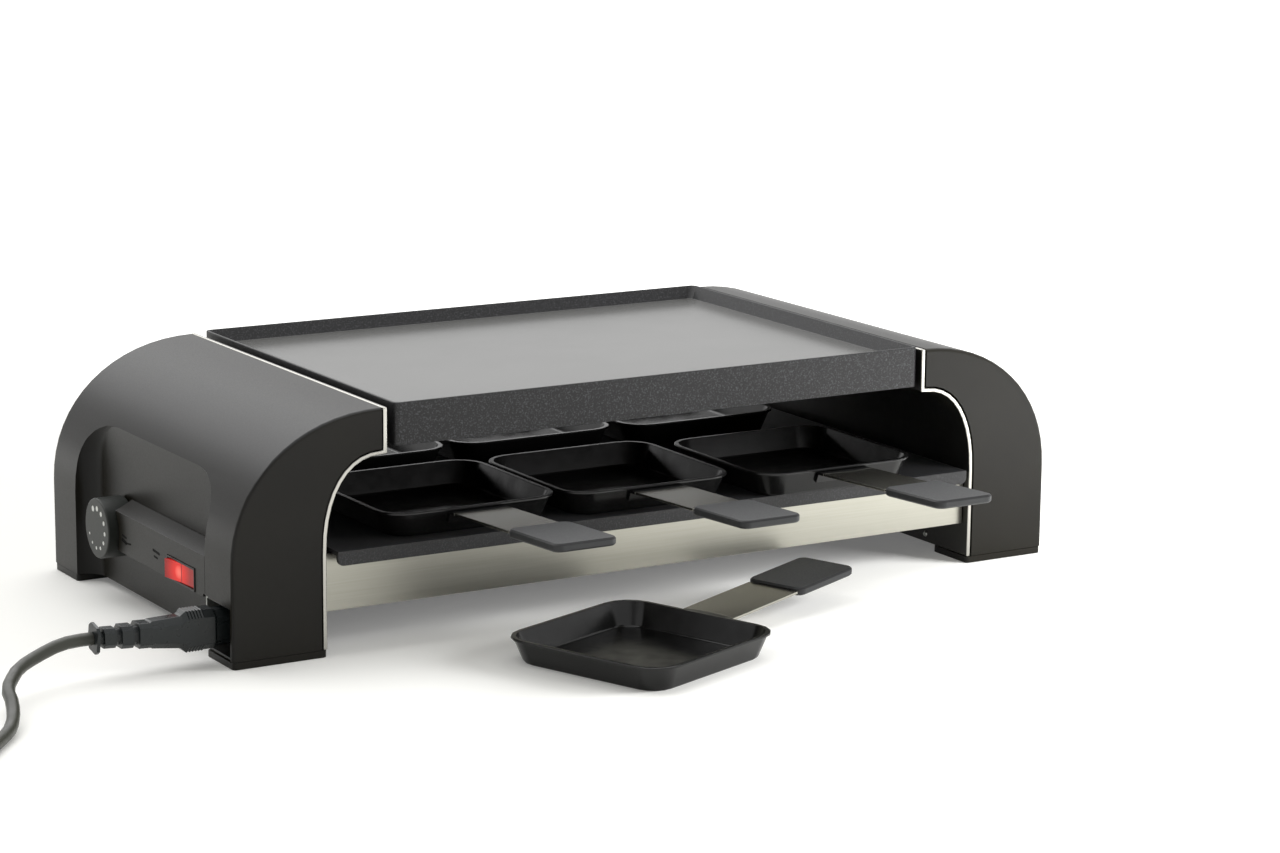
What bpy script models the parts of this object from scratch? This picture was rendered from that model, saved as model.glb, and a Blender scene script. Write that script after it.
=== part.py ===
"""Pizza grill with a cast plate on top and square pans below it, in metres, +Z up.

It is built round the middle of the grill with the table at Z = 0, and the whole
assembly is then set so that its own box stands centred on the origin.
"""

import math

import bmesh
import bpy
from mathutils import Matrix, Quaternion, Vector

# Clearances and cutting
FIT_GAP = 0.0003
OVERRUN = 0.03
MILLIMETRE = 0.001

# Arched side housings
BODY_HALF_WIDTH = 0.307
BODY_HALF_DEPTH = 0.1446
BODY_TOP = 0.1533
BODY_BOTTOM = 0.005
WALL = 0.003
EDGE_ROUND = 0.0025
SHOULDER_REACH = 0.103
SHOULDER_RISE = 0.0908
SHOULDER_POWER = 2.1
HOUSING_WIDTH = 0.060
SHOULDER_WIDTH = 0.102
NECK_HEIGHT = 0.0258
CAVITY_HALF_WIDTH = BODY_HALF_WIDTH - HOUSING_WIDTH
NECK_HALF_WIDTH = BODY_HALF_WIDTH - SHOULDER_WIDTH
NECK_BOTTOM = BODY_TOP - NECK_HEIGHT
ARCH_SPRING = 0.065
ARCH_POWER = 2.25
PILLAR_DEPTH = 0.040
SHOE_INSET = 0.0004
SHOE_CORNER = 0.0025

# Recess in each outer side
RECESS_DEPTH = 0.0145
RECESS_DROP = 0.0418
RECESS_HALF_LENGTH = BODY_HALF_DEPTH - PILLAR_DEPTH
RECESS_TOP = BODY_TOP - RECESS_DROP
RECESS_CORNER = 0.025

# Steel edge trims and the dark liner behind them
TRIM_GAP = 0.0011
TRIM_WIDTH = 0.0026
TRIM_DEPTH = 0.0012
LINER_THICKNESS = 0.0022

# Lower body and shelf
PANEL_RAISE = 0.0222
PANEL_BOTTOM = BODY_BOTTOM + PANEL_RAISE
PANEL_THICKNESS = 0.0012
PANEL_SETBACK = 0.0065
SHELF_TOP = 0.067
SHELF_THICKNESS = 0.003
SHELF_END_GAP = 0.0093
SHELF_OVERHANG = 0.0044
SHELF_HALF_WIDTH = CAVITY_HALF_WIDTH - SHELF_END_GAP
SHELF_HALF_DEPTH = BODY_HALF_DEPTH + SHELF_OVERHANG
SHELF_LIP = 0.0092
SHELF_CORNER = 0.004

# Grill plate and what carries it
PLATE_END_GAP = 0.0078
PLATE_INSET = 0.002
PLATE_SHIFT = 0.002
PLATE_STAND = 0.0017
PLATE_HALF_WIDTH = NECK_HALF_WIDTH - PLATE_END_GAP
PLATE_HALF_DEPTH = BODY_HALF_DEPTH - PLATE_INSET
PLATE_TOP = BODY_TOP + PLATE_STAND
PLATE_HEIGHT = 0.0272
PLATE_WALL = 0.004
PLATE_RIM_HEIGHT = 0.0085
PLATE_RIM_WIDTH = 0.0018
PLATE_RIM_SLOPE = 0.0052
PLATE_CORNER = 0.004
PLATE_EDGE_ROUND = 0.0004
PLATE_THICKNESS = 0.004
RAIL_THICKNESS = 0.0014
RAIL_WIDTH = 0.021
RAIL_WEB = 0.006
RAIL_INSET = 0.030
RAIL_HALF_LENGTH = BODY_HALF_DEPTH - RAIL_INSET
BRACKET_INSET = 0.035
BRACKET_WIDTH = 0.014
BRACKET_THICKNESS = 0.0014

# Heating element
ELEMENT_RADIUS = 0.0035
ELEMENT_BEND = 0.018
ELEMENT_END_MARGIN = 0.0252
ELEMENT_SIDE_MARGIN = 0.0376
ELEMENT_FOLD_INSET = 0.042
ELEMENT_END = PLATE_HALF_WIDTH - ELEMENT_END_MARGIN
ELEMENT_RUN_OUTER = PLATE_HALF_DEPTH - ELEMENT_SIDE_MARGIN
ELEMENT_FOLD = ELEMENT_END - ELEMENT_FOLD_INSET
BRACKET_PLACE = ELEMENT_RUN_OUTER - BRACKET_INSET
TERMINAL_PLACE = 0.018
TERMINAL_DROP = 0.022
TERMINAL_REACH = 0.015
TERMINAL_END = CAVITY_HALF_WIDTH + TERMINAL_REACH
TERMINAL_RAMP = 0.047

# Controls on the left side
BAR_RAISE = 0.032
BAR_HEIGHT = 0.026
BAR_BOTTOM = BODY_BOTTOM + BAR_RAISE
BAR_TOP = BAR_BOTTOM + BAR_HEIGHT
BAR_RISE = 0.0045
KNOB_INSET = 0.0521
KNOB_RAISE = 0.0113
KNOB_Y = RECESS_HALF_LENGTH - KNOB_INSET
KNOB_Z = BAR_BOTTOM + KNOB_RAISE
KNOB_RADIUS = 0.020
KNOB_STAND = 0.0065
KNOB_FACE = BODY_HALF_WIDTH + KNOB_STAND
KNOB_FOOT_GAP = 0.0015
KNOB_EDGE = 0.0012
KNOB_EDGE_SHARE = 0.3
KNOB_CLEARANCE = 0.002
SHAFT_RADIUS = 0.003
SHAFT_SEAT = 0.010
THERMOSTAT_RADIUS = 0.017
THERMOSTAT_LENGTH = 0.022
SWITCH_INSET = 0.0361
SWITCH_RAISE = 0.0075
SWITCH_Y = SWITCH_INSET - RECESS_HALF_LENGTH
SWITCH_Z = BAR_BOTTOM + SWITCH_RAISE
SWITCH_LENGTH = 0.0424
SWITCH_HEIGHT = 0.0150
SWITCH_WALL = 0.0012
SWITCH_DEPTH = 0.030
SWITCH_WELL = 0.0125
SWITCH_BEZEL = 0.0006
ROCKER_TILT = 6.0
ROCKER_STAND = 0.0012
ROCKER_PIVOT = 0.0045
ROCKER_BACK = 0.0018
ROCKER_BACK_SHARE = 0.8
ROCKER_END_GAP = 0.0010
ROCKER_PIN_RADIUS = 0.0012

# Appliance inlet in the front left pillar
POCKET_MARGIN = 0.0036
POCKET_WIDTH = 0.039
POCKET_DROP = 0.0005
POCKET_HEIGHT = 0.034
POCKET_DEPTH = 0.045
POCKET_FRONT = POCKET_MARGIN - BODY_HALF_DEPTH
POCKET_BACK = POCKET_FRONT + POCKET_WIDTH
POCKET_BOTTOM = BODY_BOTTOM - POCKET_DROP
POCKET_TOP = POCKET_BOTTOM + POCKET_HEIGHT
POCKET_END = BODY_HALF_WIDTH - POCKET_DEPTH
INLET_RECESS = 0.0015
INLET_WALL = 0.0016
INLET_WELL = 0.0165
PIN_LENGTH = 0.011
PIN_SPREAD = 0.0070
PIN_OFFSET = 0.0030
PIN_WIDTH = 0.0020
PIN_HEIGHT = 0.0040

# Pans
PANS_IN_ROW = 3
PAN_ROW_SPARE = 0.0974
PAN_GAP = 0.007
PAN_ROW_GAP = 0.032
PAN_NUDGE = 0.008
FRONT_NUDGE_SHARES = ((-0.5, 0.0), (-1.0, -0.5), (-0.625, -2.25))
REAR_NUDGE_SHARES = ((0.0, 0.0), (0.0, 0.5), (0.0, 0.0))
TRAY_RIM = (SHELF_HALF_WIDTH * 2 - PAN_ROW_SPARE) / PANS_IN_ROW
TRAY_TAPER = 0.0135
TRAY_BASE = TRAY_RIM - TRAY_TAPER
TRAY_HEIGHT = 0.0165
TRAY_SHEET = 0.0012
TRAY_RIM_CORNER = 0.020
TRAY_BASE_CORNER = 0.015
TRAY_LIP = 0.0019
TRAY_EDGE_SHARE = 0.33
STRIP_WIDTH = 0.039
STRIP_THICKNESS = 0.0016
STRIP_TAB = 0.0075
STRIP_SLOPE = 0.05
STRIP_REACH = 0.078
STRIP_IN_GRIP = 0.030
STRIP_NECK_SHARE = 0.62
GRIP_LENGTH = 0.062
GRIP_WIDTH = 0.0435
GRIP_THICKNESS = 0.0055
GRIP_CORNER = 0.006
GRIP_EDGE = 0.0012
TABLE_PAN_ALONG = 0.076
TABLE_PAN_OUT = 0.0964
TABLE_PAN_TURN = 111.0

# Mains lead
CORD_RADIUS = 0.004
CORD_POINT_SPACING = 0.018
CONNECTOR_INSET = 0.019
CONNECTOR_Y = POCKET_FRONT + CONNECTOR_INSET
CONNECTOR_Z = POCKET_BOTTOM + CONNECTOR_INSET
CONNECTOR_WIDTH = 0.018
CONNECTOR_HEIGHT = 0.0250
CONNECTOR_NECK_WIDTH = 0.0165
CONNECTOR_NECK_HEIGHT = 0.0200
CONNECTOR_BODY_REACH = 0.025
CONNECTOR_NECK_LENGTH = 0.021
CONNECTOR_BODY_END = BODY_HALF_WIDTH + CONNECTOR_BODY_REACH
CONNECTOR_NECK_END = CONNECTOR_BODY_END + CONNECTOR_NECK_LENGTH
CONNECTOR_CHAMFER = 0.0042
CONNECTOR_EDGE = 0.0014
NOSE_REACH = 0.005
NOSE_STEP = 0.0012
GRIP_RIBS = 6
GRIP_RIB_PITCH = 0.0020
GRIP_RIB_HEIGHT = 0.0007
RELIEF_LENGTH = 0.033
RELIEF_END = CONNECTOR_NECK_END + RELIEF_LENGTH
RELIEF_RIBS = 3
RELIEF_ROOT_RADIUS = 0.0078
RELIEF_TIP_RADIUS = 0.0054
RELIEF_GROOVE = 0.0022
RELIEF_RIB_SHARE = 0.7
RELIEF_CORNER = 0.0028
FLANGE_THICKNESS = 0.0022
FLANGE_END = RELIEF_END + FLANGE_THICKNESS
FLANGE_WIDTH = 0.015
FLANGE_HEIGHT = 0.0175
FLANGE_ROLL = 12.0
CORD_EXIT_RISE = 0.0026
CORD_ROUTE = (
    (-0.4100, -0.1250, 0.0259),
    (-0.4267, -0.1310, 0.0226),
    (-0.4420, -0.1410, 0.0198),
    (-0.4516, -0.1530, 0.0169),
    (-0.4580, -0.1640, 0.0146),
    (-0.4605, -0.1760, 0.0120),
    (-0.4656, -0.1920, 0.0080),
    (-0.4738, -0.2080, 0.0050),
    (-0.4861, -0.2237, 0.0041),
    (-0.5000, -0.2408, 0.0042),
    (-0.5150, -0.2590, 0.0046),
)
COIL_CENTRE = (-0.575, -0.250)
COIL_OUTER_TURN = 0.052
COIL_TURNS = 4.5
COIL_START_ANGLE = -42.0
COIL_PITCH = 0.0087
COIL_CLIMB_TURNS = 0.5
TIE_THICKNESS = 0.0008
TIE_GAP = 0.0008
TIE_WIDTH = 0.006
TIE_ANGLE = 205.0
PLUG_RADIUS = 0.0185
PLUG_HEIGHT = 0.020
PLUG_EDGE = 0.0012
PLUG_RELIEF = 0.029
PLUG_RELIEF_RADIUS = 0.0065
PLUG_TIP_RADIUS = 0.0050
PLUG_PIN_RADIUS = 0.0024
PLUG_PIN_TIP_RADIUS = 0.0012
PLUG_PIN_LENGTH = 0.019
PLUG_PIN_SPREAD = 0.0095

# Smoothness
ARCH_STEPS = 16
INNER_ARCH_STEPS = 10
CORNER_STEPS = 4
EDGE_STEPS = 3
FILLET_STEPS = 5
ROUND_STEPS = 40
SMALL_ROUND_STEPS = 16
PLUG_STEPS = 20
PIN_STEPS = 8
LOOP_POINTS = 24

FLAT_ANGLE = 35.0
QUARTER = math.pi / 2


def srgb(value):
    """One sRGB channel as linear light."""
    return value / 12.92 if value <= 0.04045 else ((value + 0.055) / 1.055) ** 2.4


def material(name, colour, roughness, metallic=0.0):
    """A plain surface for the named finish; the colour is an sRGB hex string."""
    made = bpy.data.materials.new(name)
    made.use_nodes = True
    shader = made.node_tree.nodes["Principled BSDF"]
    channels = [int(colour[at : at + 2], 16) / 255 for at in (1, 3, 5)]
    shader.inputs["Base Color"].default_value = (*map(srgb, channels), 1.0)
    shader.inputs["Roughness"].default_value = roughness
    shader.inputs["Metallic"].default_value = metallic
    return made


def make_object(name, mesh_data, finish):
    """Turns a bmesh into a named object with its faces pointing out."""
    bmesh.ops.recalc_face_normals(mesh_data, faces=mesh_data.faces)
    mesh = bpy.data.meshes.new(name)
    mesh_data.to_mesh(mesh)
    mesh_data.free()
    if finish:
        mesh.materials.append(finish)
    piece = bpy.data.objects.new(name, mesh)
    bpy.context.scene.collection.objects.link(piece)
    shade(piece)
    return piece


def shade(piece):
    """Smooth shading that keeps the real edges sharp."""
    piece.data.shade_smooth()
    piece.data.set_sharp_from_angle(angle=math.radians(FLAT_ANGLE))


def loft(name, rings, finish=None):
    """A closed solid through rings that all have the same number of points."""
    shape = bmesh.new()
    rows = [[shape.verts.new(point) for point in ring] for ring in rings]
    for low, high in zip(rows, rows[1:]):
        for at in range(len(low)):
            after = (at + 1) % len(low)
            shape.faces.new((low[at], low[after], high[after], high[at]))
    shape.faces.new(rows[0])
    shape.faces.new(rows[-1])
    return make_object(name, shape, finish)


def prism(name, outline, axis, low, high, finish=None):
    """A flat outline of two coordinates, carried along X, Y or Z."""
    place = {
        "X": lambda a, b, along: (along, a, b),
        "Y": lambda a, b, along: (a, along, b),
        "Z": lambda a, b, along: (a, b, along),
    }[axis]
    rings = [[place(a, b, along) for a, b in outline] for along in (low, high)]
    return loft(name, rings, finish)


def block(name, low, high, finish=None):
    """A box between two corners."""
    outline = [(low[0], low[1]), (high[0], low[1]), (high[0], high[1]), (low[0], high[1])]
    return prism(name, outline, "Z", low[2], high[2], finish)


def turned(name, profile, axis, centre, steps, finish=None):
    """A solid of revolution: the profile gives places along the axis and radii."""
    rings = []
    for along, radius in profile:
        ring = []
        for at in range(steps):
            angle = 2 * math.pi * at / steps
            across = radius * math.cos(angle)
            up = radius * math.sin(angle)
            point = {
                "X": (along, centre[0] + across, centre[1] + up),
                "Y": (centre[0] + across, along, centre[1] + up),
                "Z": (centre[0] + across, centre[1] + up, along),
            }[axis]
            ring.append(point)
        rings.append(ring)
    return loft(name, rings, finish)


def rounded_rectangle(half_a, half_b, corner, steps=CORNER_STEPS, centre=(0, 0)):
    """Outline points of a rectangle with four equal round corners."""
    points = []
    signs = ((1, 1), (-1, 1), (-1, -1), (1, -1))
    for quarter, (sign_a, sign_b) in enumerate(signs):
        middle_a = centre[0] + sign_a * (half_a - corner)
        middle_b = centre[1] + sign_b * (half_b - corner)
        for at in range(steps + 1):
            angle = QUARTER * (quarter + at / steps)
            points.append(
                (middle_a + corner * math.cos(angle), middle_b + corner * math.sin(angle))
            )
    return points


def combine(piece, other, operation="DIFFERENCE"):
    """Cuts the other solid from the piece, or joins it on, and removes the other."""
    step = piece.modifiers.new("combine", "BOOLEAN")
    step.operation = operation
    step.solver = "EXACT"
    step.object = other
    bpy.context.view_layer.update()
    graph = bpy.context.evaluated_depsgraph_get()
    mesh = bpy.data.meshes.new_from_object(piece.evaluated_get(graph))
    old = piece.data
    piece.modifiers.clear()
    piece.data = mesh
    mesh.name = piece.name
    bpy.data.meshes.remove(old)
    bpy.data.objects.remove(other)
    shade(piece)
    return piece


def set_origin(piece, origin):
    """Moves the object's origin to a point without moving the shape."""
    piece.data.transform(Matrix.Translation(-Vector(origin)))
    piece.location = origin


def arch(centre_u, centre_z, reach, rise, power, steps):
    """A quarter of a superellipse from its top, down to its outer end."""
    points = []
    for at in range(steps + 1):
        angle = QUARTER * (1 - at / steps)
        across = reach * max(math.cos(angle), 0) ** (2 / power)
        up = rise * max(math.sin(angle), 0) ** (2 / power)
        points.append((centre_u + across, centre_z + up))
    return points


def outer_path():
    """The housing's outer skin, from the plate's side over the shoulder to the foot."""
    shoulder = arch(
        BODY_HALF_WIDTH - SHOULDER_REACH,
        BODY_TOP - SHOULDER_RISE,
        SHOULDER_REACH,
        SHOULDER_RISE,
        SHOULDER_POWER,
        ARCH_STEPS,
    )
    kept = [point for point in shoulder if point[0] > NECK_HALF_WIDTH + WALL]
    return [(NECK_HALF_WIDTH, BODY_TOP)] + kept + [(BODY_HALF_WIDTH, BODY_BOTTOM)]


def inner_path(top, bottom):
    """The edge of the cooking space, from the plate's side out and down to the foot."""
    curve = arch(
        NECK_HALF_WIDTH,
        ARCH_SPRING,
        CAVITY_HALF_WIDTH - NECK_HALF_WIDTH,
        NECK_BOTTOM - ARCH_SPRING,
        ARCH_POWER,
        INNER_ARCH_STEPS,
    )
    return [(NECK_HALF_WIDTH, top)] + curve + [(CAVITY_HALF_WIDTH, bottom)]


def offset_path(points, distance):
    """The same open path moved sideways, to the inside of the grill, by one distance."""
    spots = [Vector(point) for point in points]
    steps = [(after - before).normalized() for before, after in zip(spots, spots[1:])]
    moved = []
    for at, spot in enumerate(spots):
        first = steps[max(at - 1, 0)]
        second = steps[min(at, len(steps) - 1)]
        normal_a = Vector((first.y, -first.x))
        normal_b = Vector((second.y, -second.x))
        middle = (normal_a + normal_b).normalized()
        moved.append(tuple(spot + middle * distance / middle.dot(normal_a)))
    return moved


def sided(outline, side):
    """An outline drawn on the right, put on the left where side is -1."""
    return [(side * across, up) for across, up in outline]


def shell_ring(side, along, inset):
    """One section of the housing, its outer skin drawn in to round the edge."""
    outer = offset_path(outer_path(), inset)
    inner = inner_path(BODY_TOP, BODY_BOTTOM)
    ring = outer + inner[1:][::-1]
    return [(across, along, up) for across, up in sided(ring, side)]


def shell_rings(side):
    """Sections from front to back with rounded edges at both faces."""
    near = []
    for at in range(EDGE_STEPS + 1):
        angle = QUARTER * at / EDGE_STEPS
        inset = EDGE_ROUND * (1 - math.sin(angle))
        place = BODY_HALF_DEPTH - EDGE_ROUND * (1 - math.cos(angle))
        near.append((place, inset))
    front = [shell_ring(side, -place, inset) for place, inset in near]
    back = [shell_ring(side, place, inset) for place, inset in reversed(near)]
    return front + back


def recess_cutter(side, grow=0.0):
    """The hand recess: an arched pocket whose ends curve in to a flat floor."""
    radius = RECESS_DEPTH + grow
    turns = [QUARTER * at / FILLET_STEPS for at in range(FILLET_STEPS + 1)]
    curves = [(-OVERRUN, 0.0)]
    curves += [(radius * math.sin(turn), radius * (1 - math.cos(turn))) for turn in turns]
    top = RECESS_TOP + grow - RECESS_CORNER
    rings = []
    for depth, curve in curves:
        side_edge = RECESS_HALF_LENGTH + grow - curve - RECESS_CORNER
        outline = [(side_edge + RECESS_CORNER, -OVERRUN - grow)]
        for at in range(CORNER_STEPS + 1):
            turn = QUARTER * at / CORNER_STEPS
            across = side_edge + RECESS_CORNER * math.cos(turn)
            outline.append((across, top + RECESS_CORNER * math.sin(turn)))
        outline += [(-across, up) for across, up in reversed(outline)]
        place = side * (BODY_HALF_WIDTH - depth)
        rings.append([(place, across, up) for across, up in outline])
    return loft("recess_cutter", rings)


def housing_hollow(side):
    """The space inside a housing, which leaves the recess its own wall."""
    skin = offset_path(outer_path(), WALL)
    inside = NECK_HALF_WIDTH - OVERRUN
    leg = CAVITY_HALF_WIDTH + WALL
    outline = [(inside, skin[0][1])] + skin[1:-1]
    outline += [(skin[-1][0], -OVERRUN), (leg, -OVERRUN), (leg, ARCH_SPRING), (inside, ARCH_SPRING)]
    reach = BODY_HALF_DEPTH - WALL
    hollow = prism("hollow", sided(outline, side), "Y", -reach, reach)
    return combine(hollow, recess_cutter(side, WALL))


def pocket_cutter(grow=0.0, end=POCKET_END):
    """The box of the inlet pocket, drawn in where grow is negative."""
    low = (-BODY_HALF_WIDTH - OVERRUN, POCKET_FRONT - grow, POCKET_BOTTOM - grow)
    high = (-end, POCKET_BACK + grow, POCKET_TOP + grow)
    return block("pocket_cutter", low, high)


def side_cover(name, side, finish):
    """One moulded housing: an arched shell, open inside and below, with its recess."""
    cover = loft(name, shell_rings(side), finish)
    combine(cover, housing_hollow(side))
    combine(cover, recess_cutter(side))
    return cover


def left_openings(cover):
    """What the controls and the inlet need through the left housing."""
    combine(cover, pocket_cutter())
    combine(cover, switch_cutter(FIT_GAP))
    hole = SHAFT_RADIUS + FIT_GAP
    floor = -(BODY_HALF_WIDTH - RECESS_DEPTH)
    ends = [(floor - WALL, hole), (floor + WALL + WALL, hole)]
    combine(cover, turned("shaft_hole", ends, "X", (KNOB_Y, KNOB_Z), SMALL_ROUND_STEPS))


def edge_band(name, side, path, inner, outer, low, high, finish):
    """A sheet bent along the edge of the cooking space, between two offsets."""
    outline = offset_path(path, inner) + offset_path(path, outer)[::-1]
    return prism(name, sided(outline, side), "Y", low, high, finish)


def trims_and_liners(steel, dark):
    """Bright trims round the edges of each housing, and the dark side wall between them."""
    trim_back = BODY_HALF_DEPTH - TRIM_DEPTH
    reach = trim_back - FIT_GAP
    inner = TRIM_GAP
    outer = inner + TRIM_WIDTH
    under_trim = BODY_TOP - TRIM_DEPTH - FIT_GAP
    edge = inner_path(BODY_TOP, BODY_BOTTOM)
    wall = inner_path(under_trim, BODY_BOTTOM)
    for word, side in (("left", -1), ("right", 1)):
        spans = (("front", -BODY_HALF_DEPTH, -trim_back), ("rear", trim_back, BODY_HALF_DEPTH))
        for end, low, high in spans:
            edge_band(f"{word}_{end}_trim", side, edge, inner, outer, low, high, steel)
        across = sorted((side * (NECK_HALF_WIDTH - outer), side * (NECK_HALF_WIDTH - inner)))
        low = (across[0], -reach, BODY_TOP - TRIM_DEPTH)
        block(f"{word}_top_trim", low, (across[1], reach, BODY_TOP), steel)
        thick = inner + LINER_THICKNESS
        edge_band(f"{word}_liner", side, wall, inner, thick, -reach, reach, dark)


def bottom_plates(dark):
    """Plates that close the housings from below, inside their walls."""
    reach = BODY_HALF_DEPTH - WALL - FIT_GAP
    outer = BODY_HALF_WIDTH - WALL - FIT_GAP
    inner = CAVITY_HALF_WIDTH + WALL + FIT_GAP
    top = BODY_BOTTOM + PANEL_THICKNESS
    for word, side in (("left", -1), ("right", 1)):
        across = sorted((side * inner, side * outer))
        low = (across[0], -reach, BODY_BOTTOM)
        high = (across[1], reach, top)
        plate = block(f"{word}_bottom_plate", low, high, dark)
        combine(plate, recess_cutter(side, WALL + FIT_GAP))
        if side < 0:
            combine(plate, pocket_cutter(FIT_GAP))


def feet(rubber):
    """Four shoes under the pillars and trims, nearly flush with the housing's faces."""
    top = BODY_BOTTOM - FIT_GAP
    outer = BODY_HALF_WIDTH - SHOE_INSET
    inner = CAVITY_HALF_WIDTH - TRIM_GAP - TRIM_WIDTH
    far = BODY_HALF_DEPTH - SHOE_INSET
    near = BODY_HALF_DEPTH - PILLAR_DEPTH + SHOE_INSET
    half_x = (outer - inner) / 2
    half_y = (far - near) / 2
    for word, side in (("left", -1), ("right", 1)):
        for end, facing in (("front", -1), ("rear", 1)):
            centre = (side * (outer + inner) / 2, facing * (far + near) / 2)
            outline = rounded_rectangle(half_x, half_y, SHOE_CORNER, EDGE_STEPS, centre)
            foot = prism(f"{word}_{end}_foot", outline, "Z", 0, top, rubber)
            if side < 0 and facing < 0:
                combine(foot, pocket_cutter(FIT_GAP))


def lower_body(steel, dark):
    """Front and rear panels, and the floor between them."""
    reach = CAVITY_HALF_WIDTH - TRIM_GAP - TRIM_WIDTH - FIT_GAP
    face = BODY_HALF_DEPTH - PANEL_SETBACK
    back = face - PANEL_THICKNESS
    top = SHELF_TOP - SHELF_THICKNESS - FIT_GAP
    hem = back - PANEL_THICKNESS - SHELF_LIP
    floor_top = PANEL_BOTTOM + PANEL_THICKNESS
    outline = [
        (face, PANEL_BOTTOM),
        (face, top),
        (hem, top),
        (hem, top - PANEL_THICKNESS),
        (back, top - PANEL_THICKNESS),
        (back, floor_top),
        (hem, floor_top),
        (hem, PANEL_BOTTOM),
    ]
    prism("rear_panel", outline, "X", -reach, reach, steel)
    mirrored = [(-across, up) for across, up in outline]
    prism("front_panel", mirrored, "X", -reach, reach, steel)
    low = (-reach, -back + FIT_GAP, floor_top + FIT_GAP)
    high = (reach, back - FIT_GAP, floor_top + FIT_GAP + PANEL_THICKNESS)
    block("base_pan", low, high, dark)


def shelf(coated):
    """The tray the pans stand on: a flat plate with lips turned down front and back."""
    under = SHELF_TOP - SHELF_THICKNESS
    hem = SHELF_TOP - SHELF_LIP
    inside = SHELF_HALF_DEPTH - SHELF_THICKNESS
    plate = block(
        "shelf_plate",
        (-SHELF_HALF_WIDTH, -SHELF_HALF_DEPTH, hem),
        (SHELF_HALF_WIDTH, SHELF_HALF_DEPTH, SHELF_TOP),
        coated,
    )
    wide = SHELF_HALF_WIDTH + OVERRUN
    combine(plate, block("under_shelf", (-wide, -inside, hem - OVERRUN), (wide, inside, under)))
    corner = SHELF_CORNER
    mask = rounded_rectangle(SHELF_HALF_WIDTH, SHELF_TOP - hem, corner, CORNER_STEPS, (0, SHELF_TOP))
    reach = SHELF_HALF_DEPTH + OVERRUN
    combine(plate, prism("corners", mask, "Y", -reach, reach), "INTERSECT")


def grill_plate(coated):
    """The cast plate: a shallow tray with a raised rim and a deep apron."""
    bottom = PLATE_TOP - PLATE_HEIGHT
    surface = PLATE_TOP - PLATE_RIM_HEIGHT
    inner = PLATE_RIM_WIDTH
    centre = (PLATE_SHIFT, 0)
    sections = (
        (bottom, 0.0),
        (PLATE_TOP - PLATE_EDGE_ROUND, 0.0),
        (PLATE_TOP, PLATE_EDGE_ROUND),
        (PLATE_TOP, inner - PLATE_EDGE_ROUND),
        (PLATE_TOP - PLATE_EDGE_ROUND, inner),
        (surface, inner + PLATE_RIM_SLOPE),
    )
    rings = []
    for up, inset in sections:
        half = (PLATE_HALF_WIDTH - inset, PLATE_HALF_DEPTH - inset)
        outline = rounded_rectangle(*half, PLATE_CORNER, CORNER_STEPS, centre)
        rings.append([(across, along, up) for across, along in outline])
    plate = loft("grill_plate", rings, coated)
    half_x = PLATE_HALF_WIDTH - PLATE_WALL
    half_y = PLATE_HALF_DEPTH - PLATE_WALL
    under = rounded_rectangle(half_x, half_y, PLATE_CORNER, CORNER_STEPS, centre)
    cutter = prism("under_plate", under, "Z", bottom - OVERRUN, surface - PLATE_THICKNESS)
    combine(plate, cutter)
    set_origin(plate, (PLATE_SHIFT, 0, bottom))
    return plate


def plate_rails(dark):
    """Angle rails on the liners that carry the plate's apron and the brackets."""
    top = PLATE_TOP - PLATE_HEIGHT - FIT_GAP
    outer = NECK_HALF_WIDTH - TRIM_GAP - LINER_THICKNESS - FIT_GAP
    inner = outer - RAIL_WIDTH
    for word, side in (("left", -1), ("right", 1)):
        outline = [
            (outer, top),
            (inner, top),
            (inner, top - RAIL_WEB),
            (inner + RAIL_THICKNESS, top - RAIL_WEB),
            (inner + RAIL_THICKNESS, top - RAIL_THICKNESS),
            (outer, top - RAIL_THICKNESS),
        ]
        name = f"{word}_plate_rail"
        prism(name, sided(outline, side), "Y", -RAIL_HALF_LENGTH, RAIL_HALF_LENGTH, dark)


def element_brackets(dark):
    """Two strips across the rails that carry the heating element."""
    low = PLATE_TOP - PLATE_HEIGHT
    half = PLATE_HALF_WIDTH - PLATE_WALL - PLATE_CORNER
    for word, facing in (("front", -1), ("rear", 1)):
        middle = facing * BRACKET_PLACE
        block(
            f"{word}_element_bracket",
            (-half, middle - BRACKET_WIDTH / 2, low),
            (half, middle + BRACKET_WIDTH / 2, low + BRACKET_THICKNESS),
            dark,
        )


def rounded_route(corners, radius, steps):
    """A route through corner points, each corner drawn as an arc."""
    spots = [Vector(corner) for corner in corners]
    route = [spots[0]]
    for before, corner, after in zip(spots, spots[1:], spots[2:]):
        to_before = (before - corner).normalized()
        to_after = (after - corner).normalized()
        half = to_before.angle(to_after) / 2
        middle = corner + (to_before + to_after).normalized() * radius / math.sin(half)
        start = corner + to_before * radius / math.tan(half) - middle
        end = corner + to_after * radius / math.tan(half) - middle
        bend = start.rotation_difference(end)
        for at in range(steps + 1):
            arm = start.copy()
            arm.rotate(Quaternion().slerp(bend, at / steps))
            route.append(middle + arm)
    return route + [spots[-1]]


def tube(name, route, radius, finish, resolution):
    """A round tube along a route."""
    curve = bpy.data.curves.new(name, "CURVE")
    curve.dimensions = "3D"
    curve.bevel_depth = radius
    curve.bevel_resolution = resolution
    curve.use_fill_caps = True
    spline = curve.splines.new("POLY")
    spline.points.add(len(route) - 1)
    for point, spot in zip(spline.points, route):
        point.co = (*spot, 1.0)
    curve.materials.append(finish)
    piece = bpy.data.objects.new(name, curve)
    bpy.context.scene.collection.objects.link(piece)
    return piece


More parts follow.
